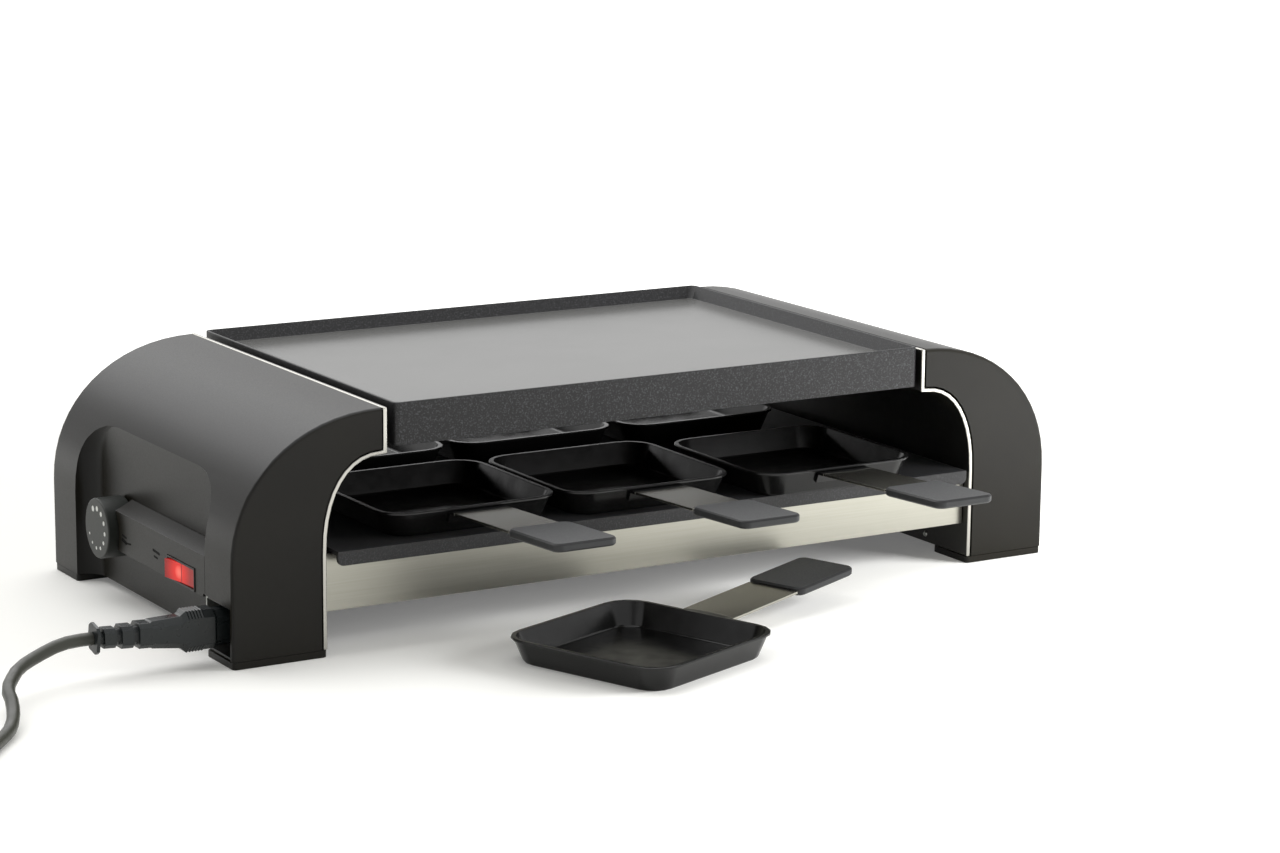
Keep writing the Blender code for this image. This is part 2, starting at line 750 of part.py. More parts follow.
def heating_element(metal):
    """One bent tube under the plate, its two ends dropping into the left housing."""
    high = PLATE_TOP - PLATE_HEIGHT + BRACKET_THICKNESS + FIT_GAP + ELEMENT_RADIUS
    low = high - TERMINAL_DROP
    middle = (ELEMENT_RUN_OUTER + TERMINAL_PLACE) / 2
    half = [
        (-TERMINAL_END, TERMINAL_PLACE, low),
        (-ELEMENT_END, TERMINAL_PLACE, low),
        (-ELEMENT_END + TERMINAL_RAMP, TERMINAL_PLACE, high),
        (ELEMENT_FOLD, TERMINAL_PLACE, high),
        (ELEMENT_FOLD, middle, high),
        (-ELEMENT_END, middle, high),
        (-ELEMENT_END, ELEMENT_RUN_OUTER, high),
        (ELEMENT_END, ELEMENT_RUN_OUTER, high),
    ]
    corners = half + [(along, -across, up) for along, across, up in reversed(half)]
    route = rounded_route(corners, ELEMENT_BEND, CORNER_STEPS)
    tube("heating_element", route, ELEMENT_RADIUS, metal, 1)
    return low


def terminal_holes(liner, height):
    """Two holes in the left liner for the ends of the element."""
    hole = ELEMENT_RADIUS + FIT_GAP
    ends = [(-BODY_HALF_WIDTH, hole), (-NECK_HALF_WIDTH, hole)]
    for across in (-TERMINAL_PLACE, TERMINAL_PLACE):
        combine(liner, turned("hole", ends, "X", (across, height), SMALL_ROUND_STEPS))


def switch_cutter(grow):
    """The room that the switch takes up, from outside the housing inwards."""
    half_y = SWITCH_LENGTH / 2 + grow
    half_z = SWITCH_HEIGHT / 2 + grow
    low = (-BODY_HALF_WIDTH - OVERRUN, SWITCH_Y - half_y, SWITCH_Z - half_z)
    high = (-BODY_HALF_WIDTH + SWITCH_DEPTH + grow, SWITCH_Y + half_y, SWITCH_Z + half_z)
    return block("switch_cutter", low, high)


def control_bar(plastic):
    """The bar across the recess, with a hollow end round the knob."""
    back = -(BODY_HALF_WIDTH - RECESS_DEPTH) - FIT_GAP
    face = -BODY_HALF_WIDTH
    outline = [(face, BAR_BOTTOM), (face, BAR_TOP), (back, BAR_TOP + BAR_RISE), (back, BAR_BOTTOM)]
    bar = prism("control_bar", outline, "Y", -BODY_HALF_DEPTH, KNOB_Y, plastic)
    combine(bar, recess_cutter(-1, -FIT_GAP), "INTERSECT")
    hollow = KNOB_RADIUS + KNOB_CLEARANCE
    ends = [(face - OVERRUN, hollow), (back + OVERRUN, hollow)]
    combine(bar, turned("knob_room", ends, "X", (KNOB_Y, KNOB_Z), ROUND_STEPS))
    combine(bar, switch_cutter(FIT_GAP))
    combine(bar, pocket_cutter(FIT_GAP))
    return bar


def thermostat_and_knob(metal, plastic):
    """The thermostat behind the recess floor, and the knob on its shaft."""
    floor = -(BODY_HALF_WIDTH - RECESS_DEPTH)
    front = floor + WALL + FIT_GAP
    foot = floor - KNOB_FOOT_GAP
    soft = KNOB_EDGE * KNOB_EDGE_SHARE
    axis = (KNOB_Y, KNOB_Z)
    body = [
        (front + THERMOSTAT_LENGTH, THERMOSTAT_RADIUS),
        (front, THERMOSTAT_RADIUS),
        (front, SHAFT_RADIUS),
        (foot - SHAFT_SEAT, SHAFT_RADIUS),
    ]
    turned("thermostat", body, "X", axis, SMALL_ROUND_STEPS, metal)
    outline = [
        (foot, KNOB_RADIUS - KNOB_EDGE),
        (foot - KNOB_EDGE, KNOB_RADIUS),
        (-KNOB_FACE + KNOB_EDGE, KNOB_RADIUS),
        (-KNOB_FACE + soft, KNOB_RADIUS - soft),
        (-KNOB_FACE, KNOB_RADIUS - KNOB_EDGE),
    ]
    knob = turned("thermostat_knob", outline, "X", axis, ROUND_STEPS, plastic)
    bore = SHAFT_RADIUS + FIT_GAP
    ends = [(foot + OVERRUN, bore), (foot - SHAFT_SEAT - FIT_GAP, bore)]
    combine(knob, turned("bore", ends, "X", axis, SMALL_ROUND_STEPS))
    set_origin(knob, (floor, KNOB_Y, KNOB_Z))


def mains_switch(plastic, red):
    """The switch's housing in the bar, and its rocker on two pins."""
    face = -BODY_HALF_WIDTH - SWITCH_BEZEL
    half_y = SWITCH_LENGTH / 2
    half_z = SWITCH_HEIGHT / 2
    low = (face, SWITCH_Y - half_y, SWITCH_Z - half_z)
    high = (-BODY_HALF_WIDTH + SWITCH_DEPTH, SWITCH_Y + half_y, SWITCH_Z + half_z)
    housing = block("switch_housing", low, high, plastic)
    well_y = half_y - SWITCH_WALL
    well_z = half_z - SWITCH_WALL
    low = (face - OVERRUN, SWITCH_Y - well_y, SWITCH_Z - well_z)
    high = (face + SWITCH_WELL, SWITCH_Y + well_y, SWITCH_Z + well_z)
    combine(housing, block("well", low, high))
    pivot = (-BODY_HALF_WIDTH + ROCKER_PIVOT, SWITCH_Y)
    reach = half_z + OVERRUN
    hole = ROCKER_PIN_RADIUS + FIT_GAP
    ends = [(SWITCH_Z - reach, hole), (SWITCH_Z + reach, hole)]
    combine(housing, turned("pin_hole", ends, "Z", pivot, SMALL_ROUND_STEPS))
    end = well_y - ROCKER_END_GAP
    tip = pivot[0] - ROCKER_PIVOT - ROCKER_STAND
    back = pivot[0] + ROCKER_BACK
    outline = [
        (tip, SWITCH_Y - end),
        (pivot[0] - ROCKER_PIVOT, SWITCH_Y),
        (tip, SWITCH_Y + end),
        (back, SWITCH_Y + end * ROCKER_BACK_SHARE),
        (back, SWITCH_Y - end * ROCKER_BACK_SHARE),
    ]
    half = well_z - FIT_GAP
    rocker = prism("rocker_switch", outline, "Z", SWITCH_Z - half, SWITCH_Z + half, red)
    reach = half_z - FIT_GAP
    ends = [(SWITCH_Z - reach, ROCKER_PIN_RADIUS), (SWITCH_Z + reach, ROCKER_PIN_RADIUS)]
    combine(rocker, turned("pin", ends, "Z", pivot, SMALL_ROUND_STEPS), "UNION")
    set_origin(rocker, (*pivot, SWITCH_Z))
    rocker.rotation_euler.z = math.radians(ROCKER_TILT)


def pin_blocks(grow):
    """The three contact blades of the inlet, or the slots that take them."""
    root = -BODY_HALF_WIDTH + INLET_RECESS + INLET_WELL
    half_y = PIN_WIDTH / 2 + grow
    half_z = PIN_HEIGHT / 2 + grow
    blades = []
    for place in (-1, 0, 1):
        across = CONNECTOR_Y + PIN_OFFSET * (1 - abs(place))
        up = CONNECTOR_Z + PIN_SPREAD * place
        low = (root - PIN_LENGTH - grow, across - half_y, up - half_z)
        high = (root + INLET_WALL, across + half_y, up + half_z)
        blades.append(block("blade", low, high))
    return blades


def inlet_socket(plastic):
    """The appliance inlet: an open box in the pillar with three blades at its back."""
    inlet = block(
        "inlet_socket",
        (-BODY_HALF_WIDTH + INLET_RECESS, POCKET_FRONT + FIT_GAP, POCKET_BOTTOM + FIT_GAP),
        (-POCKET_END - FIT_GAP, POCKET_BACK - FIT_GAP, POCKET_TOP - FIT_GAP),
        plastic,
    )
    wall = FIT_GAP + INLET_WALL
    well = block(
        "well",
        (-BODY_HALF_WIDTH - OVERRUN, POCKET_FRONT + wall, POCKET_BOTTOM + wall),
        (-BODY_HALF_WIDTH + INLET_RECESS + INLET_WELL, POCKET_BACK - wall, POCKET_TOP - wall),
    )
    combine(inlet, well)
    for blade in pin_blocks(0.0):
        combine(inlet, blade, "UNION")


def connector_sections():
    """The connector's outline from its nose to its flange: place out, half sizes, chamfer."""
    start = BODY_HALF_WIDTH - INLET_RECESS - INLET_WELL + FIT_GAP
    body_y, body_z = CONNECTOR_WIDTH / 2, CONNECTOR_HEIGHT / 2
    nose_y, nose_z = body_y - NOSE_STEP, body_z - NOSE_STEP
    neck_y, neck_z = CONNECTOR_NECK_WIDTH / 2, CONNECTOR_NECK_HEIGHT / 2
    soft, chamfer = CONNECTOR_EDGE, CONNECTOR_CHAMFER
    nose_end = BODY_HALF_WIDTH + NOSE_REACH
    sections = [
        (start, nose_y - soft, nose_z - soft, chamfer),
        (start + soft, nose_y, nose_z, chamfer),
        (nose_end - soft, nose_y, nose_z, chamfer),
        (nose_end, body_y, body_z, chamfer),
    ]
    first = CONNECTOR_BODY_END - soft - GRIP_RIB_PITCH * GRIP_RIBS
    for rib in range(GRIP_RIBS):
        at = first + GRIP_RIB_PITCH * rib
        sections.append((at, body_y, body_z, chamfer))
        sections.append((at + GRIP_RIB_PITCH / 2, body_y, body_z + GRIP_RIB_HEIGHT, chamfer))
    sections += [
        (CONNECTOR_BODY_END - soft, body_y, body_z, chamfer),
        (CONNECTOR_BODY_END, neck_y, body_z - soft, chamfer),
        (CONNECTOR_BODY_END + soft, neck_y, neck_z, chamfer),
        (CONNECTOR_NECK_END - soft, neck_y, neck_z - soft, chamfer),
        (CONNECTOR_NECK_END, RELIEF_ROOT_RADIUS, RELIEF_ROOT_RADIUS, RELIEF_CORNER),
    ]
    step = (RELIEF_END - CONNECTOR_NECK_END) / RELIEF_RIBS
    for rib in range(RELIEF_RIBS):
        at = CONNECTOR_NECK_END + step * rib
        share = rib / RELIEF_RIBS
        full = RELIEF_ROOT_RADIUS + (RELIEF_TIP_RADIUS - RELIEF_ROOT_RADIUS) * share
        thin = full - RELIEF_GROOVE
        groove = at + step * RELIEF_RIB_SHARE
        if rib > 0:
            sections.append((at, full, full, RELIEF_CORNER))
        sections += [
            (groove, full, full, RELIEF_CORNER),
            (groove, thin, thin, RELIEF_CORNER),
            (at + step, thin, thin, RELIEF_CORNER),
        ]
    return sections


def connector_ring(out, half_y, half_z, corner, roll=0.0):
    """One chamfered outline round the connector's axis, which climbs towards the cord."""
    share = max(out - CONNECTOR_BODY_END, 0) / (FLANGE_END - CONNECTOR_BODY_END)
    middle = CONNECTOR_Z + CORD_EXIT_RISE * share
    turn = math.radians(roll)
    ring = []
    for across, up in rounded_rectangle(half_y, half_z, corner, 1):
        along = CONNECTOR_Y + across * math.cos(turn) - up * math.sin(turn)
        height = middle + across * math.sin(turn) + up * math.cos(turn)
        ring.append((-out, along, height))
    return ring


def connector(rubber):
    """The moulded appliance connector with grip ribs, a ribbed strain relief and a flange."""
    flange = (FLANGE_WIDTH / 2, FLANGE_HEIGHT / 2, RELIEF_CORNER, FLANGE_ROLL)
    rings = [connector_ring(*section) for section in connector_sections()]
    rings += [connector_ring(out, *flange) for out in (RELIEF_END, FLANGE_END)]
    piece = loft("connector", rings, rubber)
    for slot in pin_blocks(FIT_GAP):
        combine(piece, slot)


def catmull_rom(points):
    """A smooth curve through hand-chosen points, with many short steps."""
    spots = [points[0] * 2 - points[1]] + points + [points[-1] * 2 - points[-2]]
    fine = []
    for before, here, there, after in zip(spots, spots[1:], spots[2:], spots[3:]):
        for at in range(LOOP_POINTS):
            share = at / LOOP_POINTS
            straight = there - before
            bend = before * 2 - here * 5 + there * 4 - after
            twist = here * 3 - before - there * 3 + after
            fine.append((here * 2 + straight * share + bend * share**2 + twist * share**3) / 2)
    return fine + [points[-1]]


def evenly_spaced(fine, spacing):
    """Points read from a curve at equal steps, about as far apart as the spacing."""
    lengths = [0.0]
    for before, after in zip(fine, fine[1:]):
        lengths.append(lengths[-1] + (after - before).length)
    count = max(round(lengths[-1] / spacing), 2)
    route = []
    at = 0
    for step in range(count + 1):
        wanted = lengths[-1] * step / count
        while at < len(fine) - 2 and lengths[at + 1] < wanted:
            at += 1
        share = (wanted - lengths[at]) / (lengths[at + 1] - lengths[at])
        route.append(fine[at].lerp(fine[at + 1], share))
    return route


def coil_spot(turn):
    """Where the coil's centre line is after so many turns: in, then out one layer up."""
    radius = COIL_OUTER_TURN - COIL_PITCH * min(turn, COIL_TURNS - turn)
    climb = min(max((turn - COIL_TURNS / 2) / COIL_CLIMB_TURNS + 0.5, 0), 1)
    climb = climb * climb * (3 - 2 * climb)
    up = CORD_RADIUS + TIE_GAP + TIE_THICKNESS + COIL_PITCH * climb
    angle = math.radians(COIL_START_ANGLE) - 2 * math.pi * turn
    across = COIL_CENTRE[0] + radius * math.cos(angle)
    along = COIL_CENTRE[1] + radius * math.sin(angle)
    return Vector((across, along, up)), radius


def coil_route():
    """The loops of the coil, with both ends straight for one cord diameter."""
    count = round(COIL_TURNS * LOOP_POINTS)
    loops = [coil_spot(COIL_TURNS * at / count)[0] for at in range(count + 1)]
    start = loops[0] + (loops[0] - loops[1]).normalized() * CORD_RADIUS * 2
    end = loops[-1] + (loops[-1] - loops[-2]).normalized() * CORD_RADIUS * 2
    return [start] + loops + [end]


def least_gap(route):
    """The narrowest space between a wound tube and itself."""
    gap = math.inf
    for at, spot in enumerate(route):
        for other in route[at + LOOP_POINTS // 2 :]:
            gap = min(gap, (other - spot).length - CORD_RADIUS * 2)
    return gap


def lead_route(coil):
    """The free stretch of the lead, from the connector to the coil."""
    start = Vector((-FLANGE_END - FIT_GAP, CONNECTOR_Y, CONNECTOR_Z + CORD_EXIT_RISE))
    straight = start - Vector((CORD_RADIUS * 2, 0, 0))
    into = (coil[1] - coil[0]).normalized()
    end = coil[0] - into * FIT_GAP
    before = end - into * CORD_RADIUS * 2
    spots = [straight] + [Vector(spot) for spot in CORD_ROUTE] + [before]
    return [start] + evenly_spaced(catmull_rom(spots), CORD_POINT_SPACING) + [end]


def coil_tie(plastic):
    """A flat band round all the turns at one side of the coil."""
    angle = math.radians(TIE_ANGLE)
    first = (math.radians(COIL_START_ANGLE) - angle) / (2 * math.pi) % 1
    turns = [first + whole for whole in range(math.ceil(COIL_TURNS)) if first + whole < COIL_TURNS]
    spots = [coil_spot(turn) for turn in turns]
    reach = CORD_RADIUS + TIE_GAP
    inner = min(radius for _, radius in spots) - reach
    outer = max(radius for _, radius in spots) + reach
    low = min(spot.z for spot, _ in spots) - reach
    high = max(spot.z for spot, _ in spots) + reach
    centre = ((inner + outer) / 2, (low + high) / 2)
    half = ((outer - inner) / 2, (high - low) / 2)
    thick = TIE_THICKNESS
    band = rounded_rectangle(half[0] + thick, half[1] + thick, thick * 2, CORNER_STEPS, centre)
    hole = rounded_rectangle(half[0], half[1], thick, CORNER_STEPS, centre)
    wide = TIE_WIDTH / 2
    tie = prism("coil_tie", band, "Y", -wide, wide, plastic)
    combine(tie, prism("hole", hole, "Y", -wide - OVERRUN, wide + OVERRUN))
    tie.data.transform(Matrix.Rotation(angle, 4, "Z"))
    tie.data.transform(Matrix.Translation((*COIL_CENTRE, 0)))


def mains_plug(coil, rubber):
    """An angled plug lying on its back, its pins up and its relief towards the cord."""
    along = (coil[-1] - coil[-2]).normalized()
    side = Vector((-along.y, along.x, 0))
    tip = coil[-1] + along * FIT_GAP
    middle = tip + along * (PLUG_RELIEF + PLUG_RADIUS)
    root = PLUG_HEIGHT / 2
    rings = []
    ends = ((0.0, PLUG_TIP_RADIUS, tip.z), (PLUG_RELIEF + PLUG_RADIUS, PLUG_RELIEF_RADIUS, root))
    for out, radius, up in ends:
        ring = []
        for at in range(SMALL_ROUND_STEPS):
            turn = 2 * math.pi * at / SMALL_ROUND_STEPS
            spot = tip + along * out + side * radius * math.cos(turn)
            ring.append((spot.x, spot.y, up + radius * math.sin(turn)))
        rings.append(ring)
    profile = [
        (0, PLUG_RADIUS - PLUG_EDGE),
        (PLUG_EDGE, PLUG_RADIUS),
        (PLUG_HEIGHT - PLUG_EDGE, PLUG_RADIUS),
        (PLUG_HEIGHT, PLUG_RADIUS - PLUG_EDGE),
    ]
    plug = turned("mains_plug", profile, "Z", (middle.x, middle.y), PLUG_STEPS, rubber)
    combine(plug, loft("relief", rings), "UNION")
    for facing in (-1, 1):
        spot = middle + side * facing * PLUG_PIN_SPREAD
        end = PLUG_HEIGHT + PLUG_PIN_LENGTH
        ends = [
            (root, PLUG_PIN_RADIUS),
            (end - PLUG_PIN_TIP_RADIUS, PLUG_PIN_RADIUS),
            (end, PLUG_PIN_TIP_RADIUS),
        ]
        combine(plug, turned("pin", ends, "Z", (spot.x, spot.y), PIN_STEPS), "UNION")


def tray_mesh(enamel):
    """The pressed pan: a square tray with sloped walls and a thin rim turned out."""
    rim, base, sheet = TRAY_RIM / 2, TRAY_BASE / 2, TRAY_SHEET
    round_rim, round_base = TRAY_RIM_CORNER, TRAY_BASE_CORNER
    under = TRAY_HEIGHT - TRAY_LIP
    edge = sheet * TRAY_EDGE_SHARE
    sections = (
        (0, base - sheet, round_base - sheet),
        (sheet, base, round_base),
        (under, rim - TRAY_LIP, round_rim - TRAY_LIP),
        (under + edge, rim, round_rim),
        (TRAY_HEIGHT - edge, rim, round_rim),
        (TRAY_HEIGHT, rim - edge, round_rim - edge),
        (TRAY_HEIGHT, rim - TRAY_LIP - sheet, round_rim - TRAY_LIP - sheet),
        (sheet + sheet, base - sheet, round_base - sheet),
        (sheet, base - sheet - sheet, round_base - sheet - sheet),
    )
    rings = []
    for up, half, corner in sections:
        rings.append([(a, b, up) for a, b in rounded_rectangle(half, half, corner)])
    return loft("tray", rings, enamel)


def strip_profile(grow, end):
    """Side view of the handle strip: a tab down the tray's wall, then out to the grip."""
    base, rim = TRAY_BASE / 2, TRAY_RIM / 2 - TRAY_LIP
    under = TRAY_HEIGHT - TRAY_LIP
    slope = (rim - base) / under
    top = under - FIT_GAP + grow
    low = under - STRIP_TAB - grow
    thick = STRIP_THICKNESS + grow * 2
    root = base + slope * top + FIT_GAP - grow
    foot = base + slope * low + FIT_GAP - grow
    rise = STRIP_SLOPE * (end - root)
    return [
        (-foot, low),
        (-root, top),
        (-end, top + rise),
        (-end, top + rise - thick),
        (-root - thick, top - thick),
        (-foot - thick, low),
    ]


def strip_mesh(steel):
    """The handle's steel strip, narrower where it sits in the grip."""
    wall = TRAY_RIM / 2 - TRAY_LIP
    grip = wall + STRIP_REACH
    end = grip + STRIP_IN_GRIP
    wide = STRIP_WIDTH / 2
    strip = prism("strip", strip_profile(0.0, end), "X", -wide, wide, steel)
    narrow = wide * STRIP_NECK_SHARE
    outline = [
        (-wide - FIT_GAP, 0),
        (-wide - FIT_GAP, -grip + FIT_GAP),
        (-narrow, -grip + FIT_GAP),
        (-narrow, -end - OVERRUN),
        (narrow, -end - OVERRUN),
        (narrow, -grip + FIT_GAP),
        (wide + FIT_GAP, -grip + FIT_GAP),
        (wide + FIT_GAP, 0),
    ]
    return combine(strip, prism("mask", outline, "Z", -OVERRUN, TRAY_HEIGHT + OVERRUN), "INTERSECT")


def grip_mesh(plastic):
    """The flat plastic grip, set along the strip's slope and slotted to take it."""
    wall = TRAY_RIM / 2 - TRAY_LIP
    start = wall + STRIP_REACH
    centre = (0, -start - GRIP_LENGTH / 2)
    edge = GRIP_EDGE
    rings = []
    for up, inset in ((0, edge), (edge, 0), (GRIP_THICKNESS - edge, 0), (GRIP_THICKNESS, edge)):
        half_x, half_y = GRIP_WIDTH / 2 - inset, GRIP_LENGTH / 2 - inset
        outline = rounded_rectangle(half_x, half_y, GRIP_CORNER - inset, CORNER_STEPS, centre)
        level = TRAY_HEIGHT - TRAY_LIP - FIT_GAP - (STRIP_THICKNESS + GRIP_THICKNESS) / 2
        ring = []
        for across, along in outline:
            rise = STRIP_SLOPE * (-along - wall)
            ring.append((across, along, level + up + rise))
        rings.append(ring)
    grip = loft("grip", rings, plastic)
    end = start + STRIP_IN_GRIP + FIT_GAP
    wide = STRIP_WIDTH / 2 * STRIP_NECK_SHARE + FIT_GAP
    slot = prism("slot", strip_profile(FIT_GAP, end), "X", -wide, wide)
    return combine(grip, slot)


def pans(finishes):
    """Three pans in front, three behind and one on the table, from shared meshes."""
    makers = (("tray", tray_mesh), ("handle_strip", strip_mesh), ("grip", grip_mesh))
    masters = [(word, make(finish)) for (word, make), finish in zip(makers, finishes)]
    shelf = SHELF_TOP + FIT_GAP
    step = TRAY_RIM + PAN_GAP
    row_place = (TRAY_RIM + PAN_ROW_GAP) / 2
    places = []
    rows = (("front", -1, FRONT_NUDGE_SHARES, 0.0), ("rear", 1, REAR_NUDGE_SHARES, 180.0))
    for row, facing, nudges, turn in rows:
        for at, word in enumerate(("left", "middle", "right")):
            across = step * (at - 1) + PAN_NUDGE * nudges[at][0]
            along = row_place * facing + PAN_NUDGE * nudges[at][1]
            places.append((f"{row}_{word}_pan", (across, along, shelf), turn))
    on_table = (-TABLE_PAN_ALONG, -BODY_HALF_DEPTH - TABLE_PAN_OUT, 0)
    places.append(("table_pan", on_table, TABLE_PAN_TURN))
    holders = []
    for name, spot, turn in places:
        holder = bpy.data.objects.new(name, None)
        holder.location = spot
        holder.rotation_euler.z = math.radians(turn)
        bpy.context.scene.collection.objects.link(holder)
        for word, master in masters:
            piece = bpy.data.objects.new(f"{name}_{word}", master.data)
            bpy.context.scene.collection.objects.link(piece)
            piece.parent = holder
        holders.append(holder)
    for _, master in masters:
        bpy.data.objects.remove(master)
    return holders


def gather(cord_names):
    """Puts every piece under one empty and stands the grill's own box on the origin."""
    root = bpy.data.objects.new("pizza_grill", None)
    for piece in bpy.context.scene.objects:
        if piece.parent is None:
            piece.parent = root
    bpy.context.scene.collection.objects.link(root)
    bpy.context.view_layer.update()
    corners = []
    for piece in bpy.context.scene.objects:
        if piece.type == "MESH" and piece.name not in cord_names:
            corners += [piece.matrix_world @ vertex.co for vertex in piece.data.vertices]
    low = [min(corner[axis] for corner in corners) for axis in range(3)]
    high = [max(corner[axis] for corner in corners) for axis in range(3)]
    root.location = (-(low[0] + high[0]) / 2, -(low[1] + high[1]) / 2, -low[2])


def build():
    """Clears the scene and makes the whole grill."""
    for old in list(bpy.data.objects):
        bpy.data.objects.remove(old)
    moulding = material("matte charcoal plastic", "#3e3d3a", 0.55)
    dark = material("black enamelled sheet", "#1d1d1f", 0.5)
    steel = material("stainless steel", "#b9b8b2", 0.28, 1.0)
    coated = material("non-stick cast aluminium", "#333336", 0.45)
    shelf_coat = material("non-stick sheet", "#2f2f30", 0.5)
    element_steel = material("element sheath", "#5b5550", 0.45, 1.0)
    grey_plastic = material("light grey moulding", "#8a8f8c", 0.5)
    red = material("red lens", "#e8392b", 0.25)
    rubber = material("black rubber", "#1a1a1a", 0.8)
    cord_skin = material("dark grey cord", "#3a3f40", 0.5)
    enamel = material("black enamel", "#1b1b1d", 0.3)
    grip_plastic = material("grip plastic", "#4a4b4c", 0.5)

    left_openings(side_cover("left_cover", -1, moulding))
    side_cover("right_cover", 1, moulding)
    trims_and_liners(steel, dark)
    bottom_plates(dark)
    feet(rubber)
    lower_body(steel, dark)
    shelf(shelf_coat)
    grill_plate(coated)
    plate_rails(dark)
    element_brackets(dark)
    terminal_holes(bpy.data.objects["left_liner"], heating_element(element_steel))
    control_bar(moulding)
    thermostat_and_knob(steel, moulding)
    mains_switch(dark, red)
    inlet_socket(grey_plastic)
    connector(cord_skin)
    coil = coil_route()
    print(f"least gap in the coil: {least_gap(coil) / MILLIMETRE:.2f} mm")
    tube("cord_coil", coil, CORD_RADIUS, cord_skin, 1)
    tube("cord_lead", lead_route(coil), CORD_RADIUS, cord_skin, 2)
    coil_tie(dark)
    mains_plug(coil, cord_skin)
    pans((enamel, steel, grip_plastic))
    gather({"connector", "cord_lead", "cord_coil", "coil_tie", "mains_plug"})


build()
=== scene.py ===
"""Looks of the pizza grill: its finishes, its free cord and its small details.

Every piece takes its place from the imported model, in metres, and rides on one of its bodies.
"""

import math

import bmesh
import bpy
from mathutils import Matrix, Vector


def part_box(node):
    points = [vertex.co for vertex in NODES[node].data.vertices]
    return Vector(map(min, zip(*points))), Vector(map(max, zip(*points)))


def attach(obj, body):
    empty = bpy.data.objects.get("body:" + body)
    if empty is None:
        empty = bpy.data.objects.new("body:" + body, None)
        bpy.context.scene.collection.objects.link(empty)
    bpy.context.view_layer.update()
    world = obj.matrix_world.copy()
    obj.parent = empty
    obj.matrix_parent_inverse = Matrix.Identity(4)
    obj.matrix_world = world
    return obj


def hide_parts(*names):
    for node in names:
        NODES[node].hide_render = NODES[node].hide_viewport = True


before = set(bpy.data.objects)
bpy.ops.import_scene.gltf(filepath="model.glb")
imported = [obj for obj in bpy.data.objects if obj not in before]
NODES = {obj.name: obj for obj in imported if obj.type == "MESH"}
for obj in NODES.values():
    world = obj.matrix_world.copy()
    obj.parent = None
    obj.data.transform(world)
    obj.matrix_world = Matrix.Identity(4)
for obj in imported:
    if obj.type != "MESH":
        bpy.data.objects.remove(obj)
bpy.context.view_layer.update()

MM = 0.001
PRINT_THICKNESS = 0.06 * MM

# The middle of the grill in the shared frame
BODY_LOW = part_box("left_cover")[0]
BODY_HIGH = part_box("right_cover")[1]
CENTRE = Vector(((BODY_LOW.x + BODY_HIGH.x) / 2, (BODY_LOW.y + BODY_HIGH.y) / 2, 0))
PLATE_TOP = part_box("grill_plate")[1].z

# The photograph's camera, from the middle of the grill: its angles are in degrees
CAMERA_SPOT = Vector((-1.143, -2.003, 0.580))
CAMERA_AZIMUTH = 31.05
CAMERA_DROP = 11.83
CAMERA_ROLL = 0.49
SENSOR_WIDTH = 36.0
FOCAL_PIXELS = 3458.2
PICTURE_WIDTH = 1280
PICTURE_HEIGHT = 853
CENTRE_PIXEL = (634.5, 422.9)

# The mains lead: the same route as in the part's source, from the middle of the grill
CORD_RADIUS = 0.004
CORD_POINT_SPACING = 0.009
CORD_ROUTE = (
    (-0.4100, -0.1250, 0.0259),
    (-0.4267, -0.1310, 0.0226),
    (-0.4420, -0.1410, 0.0198),
    (-0.4516, -0.1530, 0.0169),
    (-0.4580, -0.1640, 0.0146),
    (-0.4605, -0.1760, 0.0120),
    (-0.4656, -0.1920, 0.0080),
    (-0.4738, -0.2080, 0.0050),
    (-0.4861, -0.2237, 0.0041),
    (-0.5000, -0.2408, 0.0042),
    (-0.5150, -0.2590, 0.0046),
)
CORD_START = Vector((-0.3885, -0.122, 0.0261))
# The coil beside the grill: it winds in, climbs a layer and winds out again
COIL_CENTRE = (-0.575, -0.250)
COIL_OUTER_TURN = 0.052
COIL_TURNS = 4.5
COIL_START_ANGLE = -42.0
COIL_PITCH = 0.0087
COIL_CLIMB_TURNS = 0.5
COIL_RAISE = 0.0016
COIL_POINTS = 48
ROUTE_STEPS = 24
CORD_BEVEL_STEPS = 3


def linear(colour):
    """An sRGB hex colour as linear light, with full opacity."""
    channels = [int(colour[at : at + 2], 16) / 255 for at in (1, 3, 5)]
    return (*[c / 12.92 if c <= 0.04045 else ((c + 0.055) / 1.055) ** 2.4 for c in channels], 1.0)


def add(tree, kind, inputs=None, **settings):
    """Adds one node with its settings and links.

    An input takes a number, a hex colour, a socket, or a node, which stands for its first output.
    """
    made = tree.nodes.new(kind)
    for name, value in settings.items():
        setattr(made, name, value)
    for name, value in (inputs or {}).items():
        if isinstance(value, bpy.types.Node):
            value = value.outputs[0]
        if isinstance(value, bpy.types.NodeSocket):
            tree.links.new(value, made.inputs[name])
        else:
            made.inputs[name].default_value = linear(value) if isinstance(value, str) else value
    return made


# Camera


